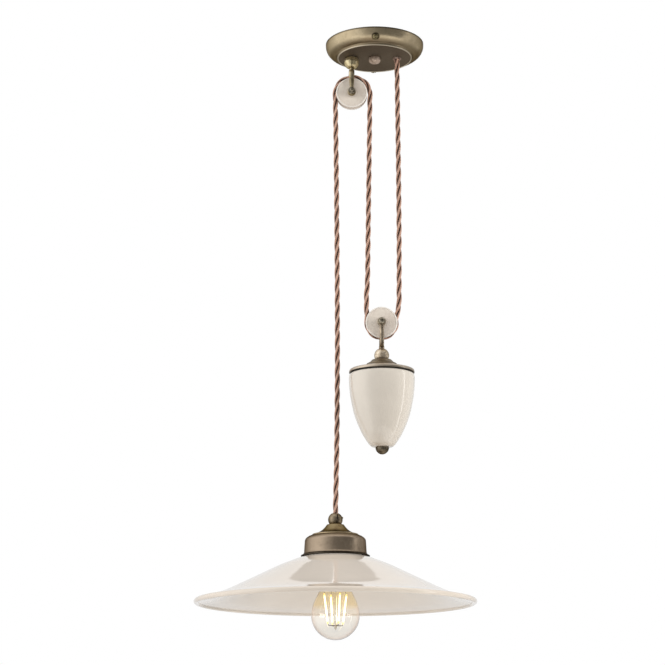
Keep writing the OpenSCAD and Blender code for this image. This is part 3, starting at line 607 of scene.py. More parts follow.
# On the weight the bands darken the glaze just below the lid, painted shade under its rim, and towards the foot at the
# finial.
M["weight"] = glaze("cream_glaze_weight", srgb(217, 208, 195), srgb(190, 177, 160), LX, coat=0.035, rough=0.13, dark_bands_z=[(WZ - 3.6, WZ - 1.6, 0.35), (WZ - 90.0, WZ - 94.5, 0.45)])
M["porcelain"] = glaze("white_porcelain", srgb(240, 237, 229), srgb(222, 216, 204), AX)
M["bisque_u"] = bisque("bisque_upper", UX, UZ)
M["bisque_l"] = bisque("bisque_lower", LX, LZ)
M["braid"] = braid("twisted_braid", srgb(246, 206, 184), srgb(206, 154, 126), srgb(48, 27, 19))
M["plastic"] = moulded("cream_thermoplastic", srgb(236, 232, 220), srgb(224, 218, 203))
M["rubber"] = moulded("black_rubber", srgb(38, 35, 32), srgb(26, 24, 22), rough=0.6)
M["pale_rubber"] = moulded("pale_rubber", srgb(212, 206, 190), srgb(196, 188, 170), rough=0.62)
M["iron"] = moulded("cast_iron", srgb(78, 76, 76), srgb(54, 52, 52), rough=0.55)
M["steel"] = steel("zinc_steel")
M["nickel"] = steel("nickelled_brass", (214, 206, 190), 0.2, (0.4, 0.4, 4.0))
M["cap"] = steel("cap_aluminium", (206, 206, 205), 0.26, (0.4, 0.4, 5.0))

CAD_LOOK = {
    "ceiling_bracket": "steel", "bracket_nut": "steel", "centre_stud": "bright", "hanger_nut": "steel",
    "upper_washers": "bright", "lower_washers": "bright", "upper_bush": "bright", "lower_bush": "bright",
    "flex_bush_nut": "bright", "flex_clamp_base": "plastic", "flex_clamp_bar": "steel", "flex_clamp_screws": "steel",
    "terminal_block": "plastic", "terminal_screws": "bright", "weight_rod": "steel", "weight_ballast": "iron",
    "weight_gasket": "rubber", "lamp_nipple": "bright", "nipple_nut": "steel", "shade_gasket": "pale_rubber",
    "holder_core": "porcelain", "holder_terminals": "bright", "holder_contact": "bright", "grip_screw": "nut",
}
for node, look in CAD_LOOK.items():
    mesh = NODES[node].data
    mesh.materials.clear()
    mesh.materials.append(M[look])
    mesh.polygons.foreach_set("material_index", [0] * len(mesh.polygons))


def piece(obj, look, body, *nodes, slot=None):
    obj.data.materials.clear()
    obj.data.materials.append(M[look] if isinstance(look, str) else look)
    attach(obj, body)
    if nodes:
        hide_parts(*nodes)
    return obj


# ---------------------------------------------------------------- ceiling rose
R = 64.5
edge = [(R, 0.0), (R, -1.4)] + [(R - 13.2 + 13.2 * math.cos(math.radians(a)), -2 - (18.4 - 4.4) * math.sin(math.radians(a))) for a in range(4, 91, 4)]
step = [(R - 13.8, PLATE + 2.0), (R - 14.6, PLATE + 0.9)]
ridge = arc(R - 16.1, PLATE - 0.15, 0.95, 0, -180, 10)
outer = edge + step + ridge + [(R - 17.2, PLATE), (0, PLATE)]
inner = [(0, PLATE + 1.2), (R - 16.8, PLATE + 1.2), (R - 15.2, PLATE + 1.5), (R - 14.2, PLATE + 3.2)] + \
    [(R - 12.8 + 11.7 * math.cos(math.radians(a)), -2 - (18.4 - 6) * math.sin(math.radians(a))) for a in range(90, -1, -6)] + [(R - 1.1, 0)]
rose = lathe("rose_dish", outer + inner, 0.0, 192, 30)
piece(rose, "rose", "ceiling_rose", "rose_shell", slot="antique_brass")


def hex_part(af, z0, z1, chamfer=0.0, top=None):
    """Hexagonal nut outline with its corners cut by a cone at one or both ends."""
    c = af / math.sqrt(3)
    seg = 72
    verts, rings = [], []
    levels = [(z0, 1)] if chamfer == 0 else [(z0, 0), (z0 + chamfer, 1)]
    levels += [(z1, 1)] if not top else [(z1 - top, 1), (z1, 0)]
    for z, full in levels:
        ring = []
        for k in range(seg):
            a = 2 * math.pi * k / seg
            w = (a + math.pi / 6) % (math.pi / 3) - math.pi / 6
            rad = (af / 2) / math.cos(w)
            # rounded corners
            rad = min(rad, c * 0.985)
            if not full:
                rad = min(rad, af / 2 * 1.0)
            ring.append(len(verts))
            verts.append((rad * math.cos(a + math.pi / 6), rad * math.sin(a + math.pi / 6), z))
        rings.append(ring)
    faces = []
    for a, b in zip(rings, rings[1:]):
        for k in range(seg):
            j = (k + 1) % seg
            faces.append((a[k], a[j], b[j], b[k]))
    faces.append(tuple(reversed(rings[0])))
    faces.append(tuple(rings[-1]))
    return verts, faces


def moved(part, matrix):
    v, f = part
    v = [tuple(matrix @ Vector(p)) for p in v]
    if matrix.determinant() < 0:
        f = [tuple(reversed(q)) for q in f]
    return v, f


# knob in the middle of the plate: a faceted cap nut with softened corners
def cap_nut(name, x):
    seg, rows = 96, []
    prof = [(0.0, 6.4), (0.0, 7.7), (-0.5, 8.0), (-1.6, 8.08), (-3.2, 8.05), (-4.5, 7.75), (-5.7, 6.9), (-6.7, 5.5), (-7.3, 3.2), (-7.55, 0.0)]
    verts, faces, rings = [], [], []
    for z, rr in prof:
        if rr == 0.0:
            rings.append([len(verts)] * seg)
            verts.append((x, 0, PLATE + z))
            continue
        ring = []
        for k in range(seg):
            a = 2 * math.pi * k / seg
            w = (a + math.pi / 8) % (math.pi / 4) - math.pi / 8
            flat = 7.55 / math.cos(w)
            soft = 0.8 * min(1.0, max(0.0, (-z + 0.4) / 1.2)) * min(1.0, max(0.0, (z + 7.4) / 2.0))
            rad = min(rr, flat * 0.985) * soft + rr * (1 - soft)
            ring.append(len(verts))
            verts.append((x + rad * math.cos(a), rad * math.sin(a), PLATE + z))
        rings.append(ring)
    for a, b in zip(rings, rings[1:]):
        for k in range(seg):
            j = (k + 1) % seg
            q = [a[k], b[k], b[j], a[j]]
            q = [i for n, i in enumerate(q) if i != q[n - 1]]
            faces.append(tuple(q))
    faces.append(tuple(rings[0]))
    return finish_mesh(name, verts, faces, None, 40)


piece(cap_nut("rose_cap_nut", 0.0), "stone", "ceiling_rose", "rose_knob", slot="stone_brass")

# side screws: raised slotted heads on a small collar
heads = []
for turn in (0, 180):
    place = Matrix.Rotation(math.radians(turn), 4, "Z") @ at(0, -60.5, -12) @ Matrix.Rotation(math.radians(135), 4, "X")
    prof = rounded([(0, -10.6), (1.98, -10.6), (1.98, 0.3), (4.2, 0.3), (4.2, 1.5), (3.5, 2.7), (0, 3.15)], [0, 0.3, 0, 0.15, 0.6, 0.6, 0], 4)
    heads.append(revolve(prof, 48, place))
screws = merge("rose_screws", heads, 40)
for turn in (0, 180):
    place = Matrix.Rotation(math.radians(turn), 4, "Z") @ at(0, -60.5, -12) @ Matrix.Rotation(math.radians(135), 4, "X")
    cutter = merge("slot_cutter", [moved(box_part((-5, -0.9, 1.2), (5, 0.9, 4)), place @ Matrix.Rotation(math.radians(65), 4, "Z"))])
    cut(screws, cutter)
piece(screws, "screw", "ceiling_rose", "rose_side_screws", slot="bright_brass")

# ---------------------------------------------------------------- split balls
BALL_R = 9.1


def ball_profile(lo=-6.0, hi=8.0, bore=3.2, radius=BALL_R, line=False):
    a0 = math.degrees(math.asin(lo / radius))
    a1 = math.degrees(math.asin(min(1, hi / radius)))
    rim = arc(0, 0, radius, a0, a1, 30)
    if line:
        rim = [q for q in rim if q[1] < -0.4] + [(radius, -0.35), (radius - 0.08, -0.22), (radius - 0.4, -0.1), (radius - 0.4, 0.1), (radius - 0.08, 0.22), (radius, 0.35)] + [q for q in rim if q[1] > 0.4]
    lip = 0.35
    pts = [(bore, lo), (rim[0][0] - lip, lo)] + [(rim[0][0] - 0.08, lo + 0.1)] + rim[1:-1] + [(rim[-1][0] - 0.02, hi - 0.12), (max(rim[-1][0] - lip, bore + 0.05), hi), (bore, hi)]
    return pts


def split_ball(name, x, z, flip=False, bore=3.2, gap=None, tilt=0.0, radius=BALL_R, lo=-6.0, line=False):
    prof = ball_profile(lo, bore=bore, radius=radius, line=line)
    if flip:
        prof = [(r, -h) for r, h in prof]
    v, f = revolve(prof, 96, at(x, 0, z))
    obj = finish_mesh(name, v, f, None, 30)
    if gap is not None:
        az, width, lo, hi = gap
        place = at(x, 0, z) @ Matrix.Rotation(math.radians(az), 4, "Z") @ Matrix.Rotation(math.radians(tilt), 4, "Y")
        cutter = merge("gap_cutter", [moved(box_part((-width / 2, -12, lo), (width / 2, 0.5, hi)), place)])
        cut(obj, cutter)
        soften(obj, 0.22, 3, 40)
    return obj


hanger = split_ball("hanger_ball_turned", UX, PLATE - 6, True, 3.2, gap=(3, 0.9, -9, 3.0), radius=9.8)
piece(hanger, "bright", "ceiling_rose", "hanger_ball", slot="bright_brass")
wball = split_ball("weight_ball_turned", LX, LZ - 42.3, False, 3.06, radius=9.5, lo=-4.8, line=True)
piece(wball, "ball", "counterweight", "weight_ball", slot="bright_brass")
grip = split_ball("grip_ball_turned", AX, BALL, False, 3.62, gap=(15, 1.0, -6.5, 12), tilt=6)
piece(grip, "grip", "lamp", "grip_ball", slot="aged_bronze")


# ---------------------------------------------------------------- forks
def fork_parts(x, z, up, stem, top_w, low_w, neck, end):
    """Two legs and a crown bent from one bar that widens towards the crown, eyes at the axle, a neck and a stem."""
    s = 1 if up else -1
    parts = []
    pts, wide = [], []
    n = 14
    for k in range(n + 1):
        t = k / n
        pts.append((x, -LEG_Y, z + s * (1.0 + t * (CROWN - 6.0))))
        wide.append((low_w + (top_w - low_w) * t) / LEG_R)
    for k in range(1, 13):
        a = math.radians(90 * k / 12)
        pts.append((x, -LEG_Y + 5 - 5 * math.cos(a), z + s * (CROWN - 5 + 5 * math.sin(a))))
        wide.append(top_w / LEG_R)
    back = [(p[0], -p[1], p[2]) for p in reversed(pts)]
    pts.append((x, 0, z + s * CROWN))
    wide.append(top_w / LEG_R)
    pts += back
    wide += list(reversed(wide[:-1]))
    parts.append(sweep(pts, [LEG_R] * len(pts), 28, (1, 0, 0), wide))
    for y in (-LEG_Y, LEG_Y):
        eye = rounded([(2.56, -2.3), (5.15, -2.3), (5.15, 2.3), (2.56, 2.3)], [0.2, 0.8, 0.8, 0.2], 4)
        parts.append(revolve(eye, 64, at(x, y, z) @ ALONG_Y))
    col = rounded([(0, CROWN - 1.6), (neck * 0.8, CROWN - 1.6), (neck, CROWN + 0.6), (neck, end - 0.7), (neck * 0.86, end), (0, end)], [0, 0.4, 0.6, 0.4, 0.2, 0], 4)
    stem_p = rounded([(0, CROWN), (2.95, CROWN), (2.95, CROWN + stem), (0, CROWN + stem)], [0, 0, 0.3, 0], 3)
    turn = at(x, 0, z) if up else at(x, 0, z) @ Matrix.Rotation(math.pi, 4, "X")
    parts.append(revolve(col, 64, turn))
    parts.append(revolve(stem_p, 48, turn))
    return parts


piece(merge("upper_fork_bar", fork_parts(UX, UZ, True, 26.2, 3.7, 2.35, 3.6, 33.0), 40), "arm", "ceiling_rose", "upper_fork", slot="bright_brass")
piece(merge("lower_fork_bar", fork_parts(LX, LZ, False, 10.9, 2.9, 2.2, 3.5, 34.1), 40), "bronze", "counterweight", "lower_fork", slot="aged_bronze")


# ---------------------------------------------------------------- axles, nuts
def axle_head(name, x, z, body, node):
    head = rounded([(0, -26.9), (2.5, -26.9), (2.5, 0), (4.65, 0), (4.65, 0.9), (3.9, 2.4), (2.2, 3.15), (0, 3.3)],
                   [0, 0.4, 0, 0.15, 0.35, 0.8, 0.8, 0], 4)
    v, f = revolve(head, 64, at(x, 11.6, z) @ ALONG_Y)
    obj = finish_mesh(name, v, f, None, 35)
    place = at(x, 11.6, z) @ ALONG_Y @ Matrix.Rotation(math.radians(12), 4, "Z")
    cutter = merge("slot_cutter", [moved(box_part((-6, -0.55, 1.9), (6, 0.55, 5)), place)])
    cut(obj, cutter)
    soften(obj, 0.12, 2, 40)
    return piece(obj, "nut", body, node, slot="aged_bronze")


def acorn(name, x, z, body, node, turn, dome_r):
    parts = []
    nut = hex_part(8.6, 0.0, 3.5, 0.35, 0.5)
    parts.append(moved(nut, at(x, -11.6, z) @ ALONG_NY @ Matrix.Rotation(math.radians(turn), 4, "Z")))
    dome = rounded([(0, 2.9), (dome_r, 2.9), (dome_r, 3.6), (dome_r * 0.88, 4.6), (dome_r * 0.58, 5.6), (0, 5.98)], [0, 0, 0.4, 0.6, 0.8, 0], 4)
    parts.append(revolve(dome, 48, at(x, -11.6, z) @ ALONG_NY))
    return piece(merge(name, parts, 30), "nut", body, node, slot="aged_bronze")


axle_head("upper_axle_bolt", UX, UZ, "ceiling_rose", "upper_axle")
acorn("upper_axle_cap", UX, UZ, "ceiling_rose", "upper_axle_nut", 8, 2.7)
axle_head("lower_axle_bolt", LX, LZ, "counterweight", "lower_axle")
acorn("lower_axle_cap", LX, LZ, "counterweight", "lower_axle_nut", 30, 3.9)


# ---------------------------------------------------------------- pulleys
def wheel(x, z, run):
    h, rg, w = 6.0, 3.8, WHEEL
    groove = [(run - rg * math.sin(math.radians(a)), rg * math.cos(math.radians(a))) for a in range(0, 181, 5)]
    groove = [p for p in groove if p[0] < w - 0.5]
    side = [(4.0, h - 0.02), (6.1, h - 0.02), (6.45, h - 0.12), (6.6, h - 0.38), (7.0, h - 0.4), (w - 2.6, h - 0.4), (w - 2.2, h - 0.36), (w - 1.95, h - 0.12), (w - 1.7, h),
            (w - 1.2, h), (w - 0.65, h - 0.2), (w - 0.25, h - 0.6), (w - 0.03, h - 1.1), (w - 0.03, h - 1.6), (w - 0.25, h - 2.1)]
    prof = side + groove + [(r, -y) for r, y in reversed(side)]
    return revolve(prof, 160, at(x, 0, z) @ ALONG_Y)


piece(merge("upper_wheel_turned", [wheel(UX, UZ, RUN)], 50), "bisque_u", "upper_wheel", "upper_pulley", slot="bisque")
piece(merge("lower_wheel_turned", [wheel(LX, LZ, LOW)], 50), "bisque_l", "lower_wheel", "lower_pulley", slot="bisque")

# ---------------------------------------------------------------- flex bush in the rose
bush = rounded([(3.7, PLATE - 2), (4.9, PLATE - 2), (5.45, PLATE - 1.3), (5.45, PLATE), (4.6, PLATE), (4.6, PLATE + 3.6), (3.7, PLATE + 3.6)],
               [0.5, 0.4, 0.4, 0, 0, 0.2, 0.2], 4)
piece(lathe("flex_bush_turned", bush, EX, 96), "bush", "ceiling_rose", "flex_bush", slot="bright_brass")

# ---------------------------------------------------------------- the twisted flex
CORE = 1.62
OFF = 1.87
LAY = 56.0


def twist(name, points, start, sides=14):
    """Three braided cores laid round a planar path (points every 1.5 mm or so); start is the length already run."""
    pts = [Vector(p) for p in points]
    run = [start]
    for a, b in zip(pts, pts[1:]):
        run.append(run[-1] + (b - a).length)
    b_vec = Vector((0, 1, 0))
    verts, faces, uvs = [], [], []
    w = 2 * math.pi / LAY
    circ = 2 * math.pi * CORE
    for core in range(3):
        k0 = len(verts)
        for i, p in enumerate(pts):
            t = (pts[min(i + 1, len(pts) - 1)] - pts[max(i - 1, 0)]).normalized()
            n = b_vec.cross(t)
            phi = w * run[i] + core * 2 * math.pi / 3
            e = math.cos(phi) * n + math.sin(phi) * b_vec
            f = -math.sin(phi) * n + math.cos(phi) * b_vec
            tc = (t + OFF * w * f).normalized()
            o = tc.cross(e)
            c = p + OFF * e
            for k in range(sides):
                a = 2 * math.pi * k / sides
                verts.append(tuple(c + CORE * (math.cos(a) * e + math.sin(a) * o)))
        m = len(pts)
        for i in range(m - 1):
            for k in range(sides):
                j = (k + 1) % sides
                faces.append((k0 + i * sides + k, k0 + i * sides + j, k0 + (i + 1) * sides + j, k0 + (i + 1) * sides + k))
                u0, u1 = k / sides, (k + 1) / sides
                v0, v1 = run[i] / circ, run[i + 1] / circ
                uvs.append([(u0, v0), (u1, v0), (u1, v1), (u0, v1)])
        faces.append(tuple(k0 + k for k in reversed(range(sides))))
        uvs.append([(0.5 + 0.1 * math.cos(2 * math.pi * k / sides), run[0] / circ) for k in reversed(range(sides))])
        faces.append(tuple(k0 + (m - 1) * sides + k for k in range(sides)))
        uvs.append([(0.5 + 0.1 * math.cos(2 * math.pi * k / sides), run[-1] / circ) for k in range(sides)])
    obj = finish_mesh(name, verts, faces, uvs, 0)
    obj.data.set_sharp_from_angle(angle=math.radians(70))
    return obj, run[-1]


def straight(a, b, step=1.6):
    a, b = Vector(a), Vector(b)
    n = max(2, int(round((b - a).length / step)))
    return [tuple(a.lerp(b, k / n)) for k in range(n + 1)]


def linear_blend(obj):
    """Bakes the strand's placement into its mesh."""
    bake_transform(obj)


run_at = 0.0
tail_r, tail_x = 6.5, 8.0
bend_z = PLATE + 3.6
tail_z = bend_z + tail_r
swing = EX - tail_x
# inside the rose: terminals end to the bush
tail = [(-0.0, tail_r + swing, tail_z), (4.0, tail_r + swing, tail_z)]
tail = straight((0.2, tail_r + swing, tail_z), (tail_x, tail_r + swing, tail_z), 2.0)
tail += [(tail_x + swing * math.sin(math.radians(a)), tail_r + swing * math.cos(math.radians(a)), tail_z) for a in range(5, 91, 5)]
tail += [(EX, tail_r * (1 - math.sin(math.radians(a))), bend_z + tail_r * math.cos(math.radians(a))) for a in range(12, 91, 12)]


def twist_free(name, points, start, sides=12):
    """The same three cores round a path that leaves its plane, carried by parallel frames."""
    pts = [Vector(p) for p in points]
    run = [start]
    for a, b in zip(pts, pts[1:]):
        run.append(run[-1] + (b - a).length)
    verts, faces, uvs = [], [], []
    w = 2 * math.pi / LAY
    circ = 2 * math.pi * CORE
    frames, n = [], Vector((0, 0, 1))
    for i, p in enumerate(pts):
        t = (pts[min(i + 1, len(pts) - 1)] - pts[max(i - 1, 0)]).normalized()
        n = (n - t * n.dot(t)).normalized()
        frames.append((t, n.copy(), t.cross(n)))
    for core in range(3):
        k0 = len(verts)
        for i, p in enumerate(pts):
            t, n, b = frames[i]
            phi = w * run[i] + core * 2 * math.pi / 3
            e = math.cos(phi) * n + math.sin(phi) * b
            o = t.cross(e)
            c = p + OFF * e
            for k in range(sides):
                a = 2 * math.pi * k / sides
                verts.append(tuple(c + CORE * (math.cos(a) * e + math.sin(a) * o)))
        m = len(pts)
        for i in range(m - 1):
            for k in range(sides):
                j = (k + 1) % sides
                faces.append((k0 + i * sides + k, k0 + i * sides + j, k0 + (i + 1) * sides + j, k0 + (i + 1) * sides + k))
                v0, v1 = run[i] / circ, run[i + 1] / circ
                uvs.append([(k / sides, v0), ((k + 1) / sides, v0), ((k + 1) / sides, v1), (k / sides, v1)])
        faces.append(tuple(k0 + k for k in reversed(range(sides))))
        uvs.append([(0.5, run[0] / circ)] * sides)
        faces.append(tuple(k0 + (m - 1) * sides + k for k in range(sides)))
        uvs.append([(0.5, run[-1] / circ)] * sides)
    return finish_mesh(name, verts, faces, uvs, 0), run[-1]


def core_ends(name, ends, rad=1.02, uv_len=1.0):
    """Bare single cores from the end of the twist to their terminals."""
    verts, faces, uvs = [], [], []
    for pts in ends:
        fine = []
        for i in range(len(pts) - 1):
            a, b = pts[max(i - 1, 0)], pts[i]
            c, d = pts[i + 1], pts[min(i + 2, len(pts) - 1)]
            for k in range(6):
                t = k / 6
                fine.append(tuple(0.5 * (2 * b[j] + (c[j] - a[j]) * t + (2 * a[j] - 5 * b[j] + 4 * c[j] - d[j]) * t * t
                                         + (3 * b[j] - a[j] - 3 * c[j] + d[j]) * t ** 3) for j in range(3)))
        fine.append(tuple(pts[-1]))
        v, f = sweep(fine, [rad] * len(fine), 12)
        k = len(verts)
        verts += v
        faces += [tuple(i + k for i in q) for q in f]
        for q in f:
            uvs.append([((i % 12) / 12, (i // 12) * 0.35) for i in q])
    return verts, faces, uvs


tail_obj, run_at = twist_free("flex_tail_in_rose", tail + straight((EX, 0, bend_z), (EX, 0, PLATE - 2.0), 1.5)[1:], 0.0)
term = (-22, 26)
ends = []
for k, ang in zip((-1, 0, 1), (1, 0, 2)):
    y0 = tail_r + swing + k * 1.9
    ends.append([(1.4, tail_r + swing + k * 1.7, tail_z), (-2.5, y0 + k * 0.5, tail_z), (-8.0, term[1] + k * 4.4, PLATE + 6.1), (-12.5, term[1] + k * 4.6, PLATE + 5.8)])
v, f, uv = core_ends("x", ends)
cores_rose = finish_mesh("flex_cores_in_rose", v, f, uv, 60)
piece(tail_obj, "braid", "ceiling_rose", "flex_rose_tail", slot="flex_braid")
piece(cores_rose, "braid", "ceiling_rose", slot="flex_braid")

c_top, c_low = (EX, 0, PLATE - 2.0), (LX + LOW, 0, LZ)


def lean(points, by):
    """Moves each point of a strand sideways by what its height asks for: real flex never hangs dead straight."""
    return [(x + by(z), y, z) for x, y, z in points]


def bend_in(z, z0, z1, d):
    """An easy double curve from 0 at z0 to d at z1."""
    u = min(1.0, max(0.0, (z0 - z) / (z0 - z1)))
    return d * (2 * u * u if u < 0.5 else 1 - 2 * (1 - u) ** 2)


c_path = lean(straight(c_top, (EX, 0, LZ)), lambda z: bend_in(z, LZ + 30, LZ, LX + LOW - EX)
              + 1.0 * math.sin(math.pi * min(1.0, max(0.0, (PLATE - 2.0 - z) / (PLATE - LZ - 14))) ** 1.3))
c_path[-1] = c_low
strand_c, run_at = twist("flex_strand_right", c_path, run_at)
under = [(LX + LOW * math.cos(math.radians(a)), 0, LZ - LOW * math.sin(math.radians(a))) for a in [180 * k / 45 for k in range(46)]]
arc_low, run_at = twist("flex_under_wheel", under, run_at)
b_low, b_top = (LX - LOW, 0, LZ), (BX, 0, UZ)
b_path = lean(straight(b_low, b_top), lambda z: -1.1 * math.sin(math.pi * min(1.0, max(0.0, (z - LZ) / 62.0))) ** 2)
strand_b, run_at = twist("flex_strand_middle", b_path, run_at)
over = [(UX + LOOSE + (RUN + LOOSE) * math.cos(math.radians(a)), 0, UZ + (RUN + LOOSE) * math.sin(math.radians(a))) for a in [180 * k / 45 for k in range(46)]]
arc_top, run_at = twist("flex_over_wheel", over, run_at)
a_top, a_low = (AX, 0, UZ), (AX, 0, BALL + 8.05)


def fall_bow(z):
    q = min(1.0, max(0.0, (UZ - z) / (UZ - BALL - 8.05)))
    return 2.0 * max(0.0, math.sin(math.pi * q)) ** 0.75 + 0.8 * max(0.0, math.sin(math.pi * q * q))


a_path = lean(straight(a_top, a_low), fall_bow)
strand_a, run_at = twist("flex_strand_left", a_path, run_at)
lamp_tail, run_at = twist("flex_in_lamp", straight((AX, 0, BALL + 8.05), (AX, 0, -659.0)), run_at)
for obj in (strand_a, strand_b, strand_c):
    obj.data.materials.append(M["braid"])
linear_blend(strand_a)
linear_blend(strand_b)
linear_blend(strand_c)
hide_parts("flex_drop")
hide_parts("flex_middle")
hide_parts("flex_return")
piece(arc_low, "braid", "flex_bight", "flex_under", slot="flex_braid")
piece(arc_top, "braid", "ceiling_rose", "flex_over", slot="flex_braid")
piece(lamp_tail, "braid", "lamp", "flex_lamp_tail", slot="flex_braid")
ends = []
for a in (90, 210, 330):
    ca, sa = math.cos(math.radians(a)), math.sin(math.radians(a))
    ends.append([(AX + 1.7 * ca, 1.7 * sa, -658.4), (AX + 2.6 * ca, 2.6 * sa, -660.2), (AX + 5.2 * ca, 5.2 * sa, -662.2), (AX + 6.9 * ca, 6.9 * sa, -663.3)])
v, f, uv = core_ends("x", ends)
piece(finish_mesh("flex_cores_in_lamp", v, f, uv, 60), "braid", "lamp", slot="flex_braid")

# ---------------------------------------------------------------- counterweight
washer = rounded([(3.1, LZ - 47.1), (8.7, LZ - 47.1), (8.7, LZ - 48.2), (3.1, LZ - 48.2)], 0.3, 4)
piece(lathe("weight_washer", washer, LX, 96), "rubber", "counterweight", "weight_ball_washer", slot="black_rubber")
lid_key = [(8, 17), (11.9, 16.95), (12.9, 16.5), (13.9, 15.4), (15.5, 13.9), (17.5, 12.6), (19.2, 11.85), (19.6, 11.2), (19.8, 10.6), (21.2, 9.7), (24.4, 8.4), (28, 7.1), (35, 5.3), (39.8, 4.1), (41.2, 3.1), (41.6, 1.8)]
lid_in = [(36.5, 0), (36.5, 1.1), (38.4, 1.3), (38.4, 2.6), (34.8, 4), (20.6, 8.4), (18, 10.2), (13, 12.2), (10.4, 15.4), (3.1, 15.4), (3.1, 17)]
lid_out = curve(lid_key, 5)
lid = [(r, WZ + z) for r, z in lid_out + [(41.6, 0.35), (41.35, 0.05), (41.0, 0)] + lid_in]
piece(lathe("weight_lid_spun", lid, LX, 160, 28), "lid", "counterweight", "weight_lid", slot="antique_brass")
body_key = [(39.4, -1.3), (41.2, -2.6), (41.9, -6), (41.9, -12), (41.4, -20), (40.4, -29), (38.8, -38), (36.8, -48), (33.9, -58), (30, -68), (24.9, -79), (19, -88.6), (16, -92.4), (13.6, -94.6), (10.8, -95.4)]
body_key = [(r, WZ + z) for r, z in body_key]
body_out = curve(body_key, 6)
body_in = aside(curve([p for p in body_key if WZ - 90 < p[1] < WZ - 5], 5), 3.6)
prof = [(37.6, WZ - 1.35), (38.6, WZ - 1.25)] + body_out + [(3.4, WZ - 95.4), (3.4, WZ - 88)] + body_in[::-1]
piece(lathe("weight_body_glazed", prof, LX, 176, 40), "weight", "counterweight", "weight_body", slot="cream_glaze")
fin = curve([(8.1, 0), (8.45, -0.5), (8.45, -1.5), (8.15, -3.1), (7.35, -4.9), (5.95, -6.6), (4.2, -8), (2.2, -8.85), (0, -9.15)], 4)
fin = [(0, WZ - 95.4)] + [(r, WZ - 95.4 + z) for r, z in fin]
piece(lathe("weight_finial_turned", fin, LX, 96), "finial", "counterweight", "weight_finial", slot="aged_bronze")

# ---------------------------------------------------------------- gallery
g1 = curve([(10.4, 38.6), (11.3, 37.6), (12.3, 36.2), (14.3, 33.9), (17.2, 31.3), (21.2, 28.9), (24.6, 27.6), (28.2, 26.7)], 5)
g2 = [(28.75, 26.4), (29.0, 25.9), (29.15, 25.35)]
g3 = curve([(30, 25), (33.2, 23.9), (36.4, 21.6), (37.9, 19.2), (38.3, 16)], 5)
g4 = [(39.0, 3.8)]
g5 = curve([(39.2, 3.3), (39.8, 2), (41.1, 0.9), (42.7, 0.1)], 5)
gout = [(0, 38.7), (9.9, 38.7)] + g1 + g2 + g3 + g4 + g5 + [(42.95, -0.1), (43.0, -0.45), (42.9, -0.8), (42.5, -0.9)]
gin = [p for p in aside(g1 + g2 + g3 + g4 + g5, 1.0) if p[1] < 36.6 and p[0] < 41.9]
gall = [(r, GZ + z) for r, z in gout + gin[::-1] + [(9.0, 36.9), (0, 36.9)]]
piece(lathe("gallery_spun", gall, AX, 176, 28), "gallery", "lamp", "gallery", slot="antique_brass")

# ---------------------------------------------------------------- shade
key = [(36, 0), (42, -2.2), (48, -4.4), (60, -9.0), (68, -12.15), (72, -13.95), (78, -16.75), (95, -25.0), (115, -34.6), (130, -41.8), (142, -47.0), (152, -50.6), (162, -53.2), (170, -55.2)]
key = [(r, TOP + z) for r, z in key]
sout = curve(key, 6)
sin_ = aside(sout, 3.5)
bead = arc(175 - 3.3, TOP - 57.9, 3.3, 100, -170, 26)
prof = [(21.4, TOP - 0.3), (22, TOP), (30, TOP)] + [p for p in sout if p[0] < 169.8] + bead + [p for p in reversed(sin_) if p[0] < 168.0] + [(22, TOP - 3.5), (21.4, TOP - 3.2)]
piece(lathe("shade_glazed", prof, AX, 256, 45), "shade", "lamp", "shade", slot="cream_glaze")

# ---------------------------------------------------------------- holder under the shade
ring = rounded([(19.6, TOP - 3.6), (27.6, TOP - 3.6), (28, TOP - 4.4), (28, TOP - 7.0), (26.8, TOP - 7.9), (19.6, TOP - 7.9)], [0.2, 0.5, 0.4, 0.5, 0.7, 0.4], 4)


def ribbed(profile, x, ribs, depth, z_lo, z_hi, r_min, seg=240):
    v, f = revolve(profile, seg, None)
    out = []
    for p in v:
        r = math.hypot(p[0], p[1])
        if r > r_min and z_lo < p[2] < z_hi:
            a = math.atan2(p[1], p[0])
            k = depth * max(0.0, math.sin(a * ribs)) ** 0.6 if math.sin(a * ribs) > 0 else 0.0
            out.append((p[0] * (r - k) / r + x, p[1] * (r - k) / r, p[2]))
        else:
            out.append((p[0] + x, p[1], p[2]))
    return out, f


v, f = ribbed(ring, AX, 30, 0.55, TOP - 7.4, TOP - 3.9, 27.0, 360)
piece(finish_mesh("shade_ring_ribbed", v, f, None, 40), "plastic", "lamp", "shade_ring", slot="cream_plastic")
holder = [(0, -654), (10.6, -654), (11.4, -654.2), (14, -655.4), (18, -659), (19.2, -661.2), (19.45, -663), (19.45, -671.6), (25.8, -671.6), (26.4, -672.2), (26.45, TOP + 1.22), (19.45, TOP + 1.22)]
z = TOP - 0.4
while z > -698.0:
    holder += [(19.45, z), (19.05, z - 0.7), (19.05, z - 1.3), (19.45, z - 2.0)]
    z -= 2.5
holder += [(19.4, -699.2), (18.8, -699.9), (17.4, -700), (17.05, -699.4), (17, -698), (17, -662), (15, -659.4), (12, -658), (0, -658)]
piece(lathe("holder_glazed", holder, AX, 128, 40), "porcelain", "lamp", "holder_body", slot="white_porcelain")
shell = [(13.45, -671.02), (16.6, -671.02), (16.6, -671.6), (14.0, -671.6)]
zs = [-671.8 - 0.3 * i for i in range(77)]
outer_s = [(13.72 + 0.22 * math.cos((z + 671.8) / 3.6 * 2 * math.pi), z) for z in zs]
inner_s = [(r - 0.24, z) for r, z in outer_s]
shell += outer_s + [(14.05, -694.95), (13.5, -694.95)] + inner_s[::-1]
piece(lathe("holder_shell_rolled", shell, AX, 96, 60), "nickel", "lamp", "holder_shell", slot="nickel")

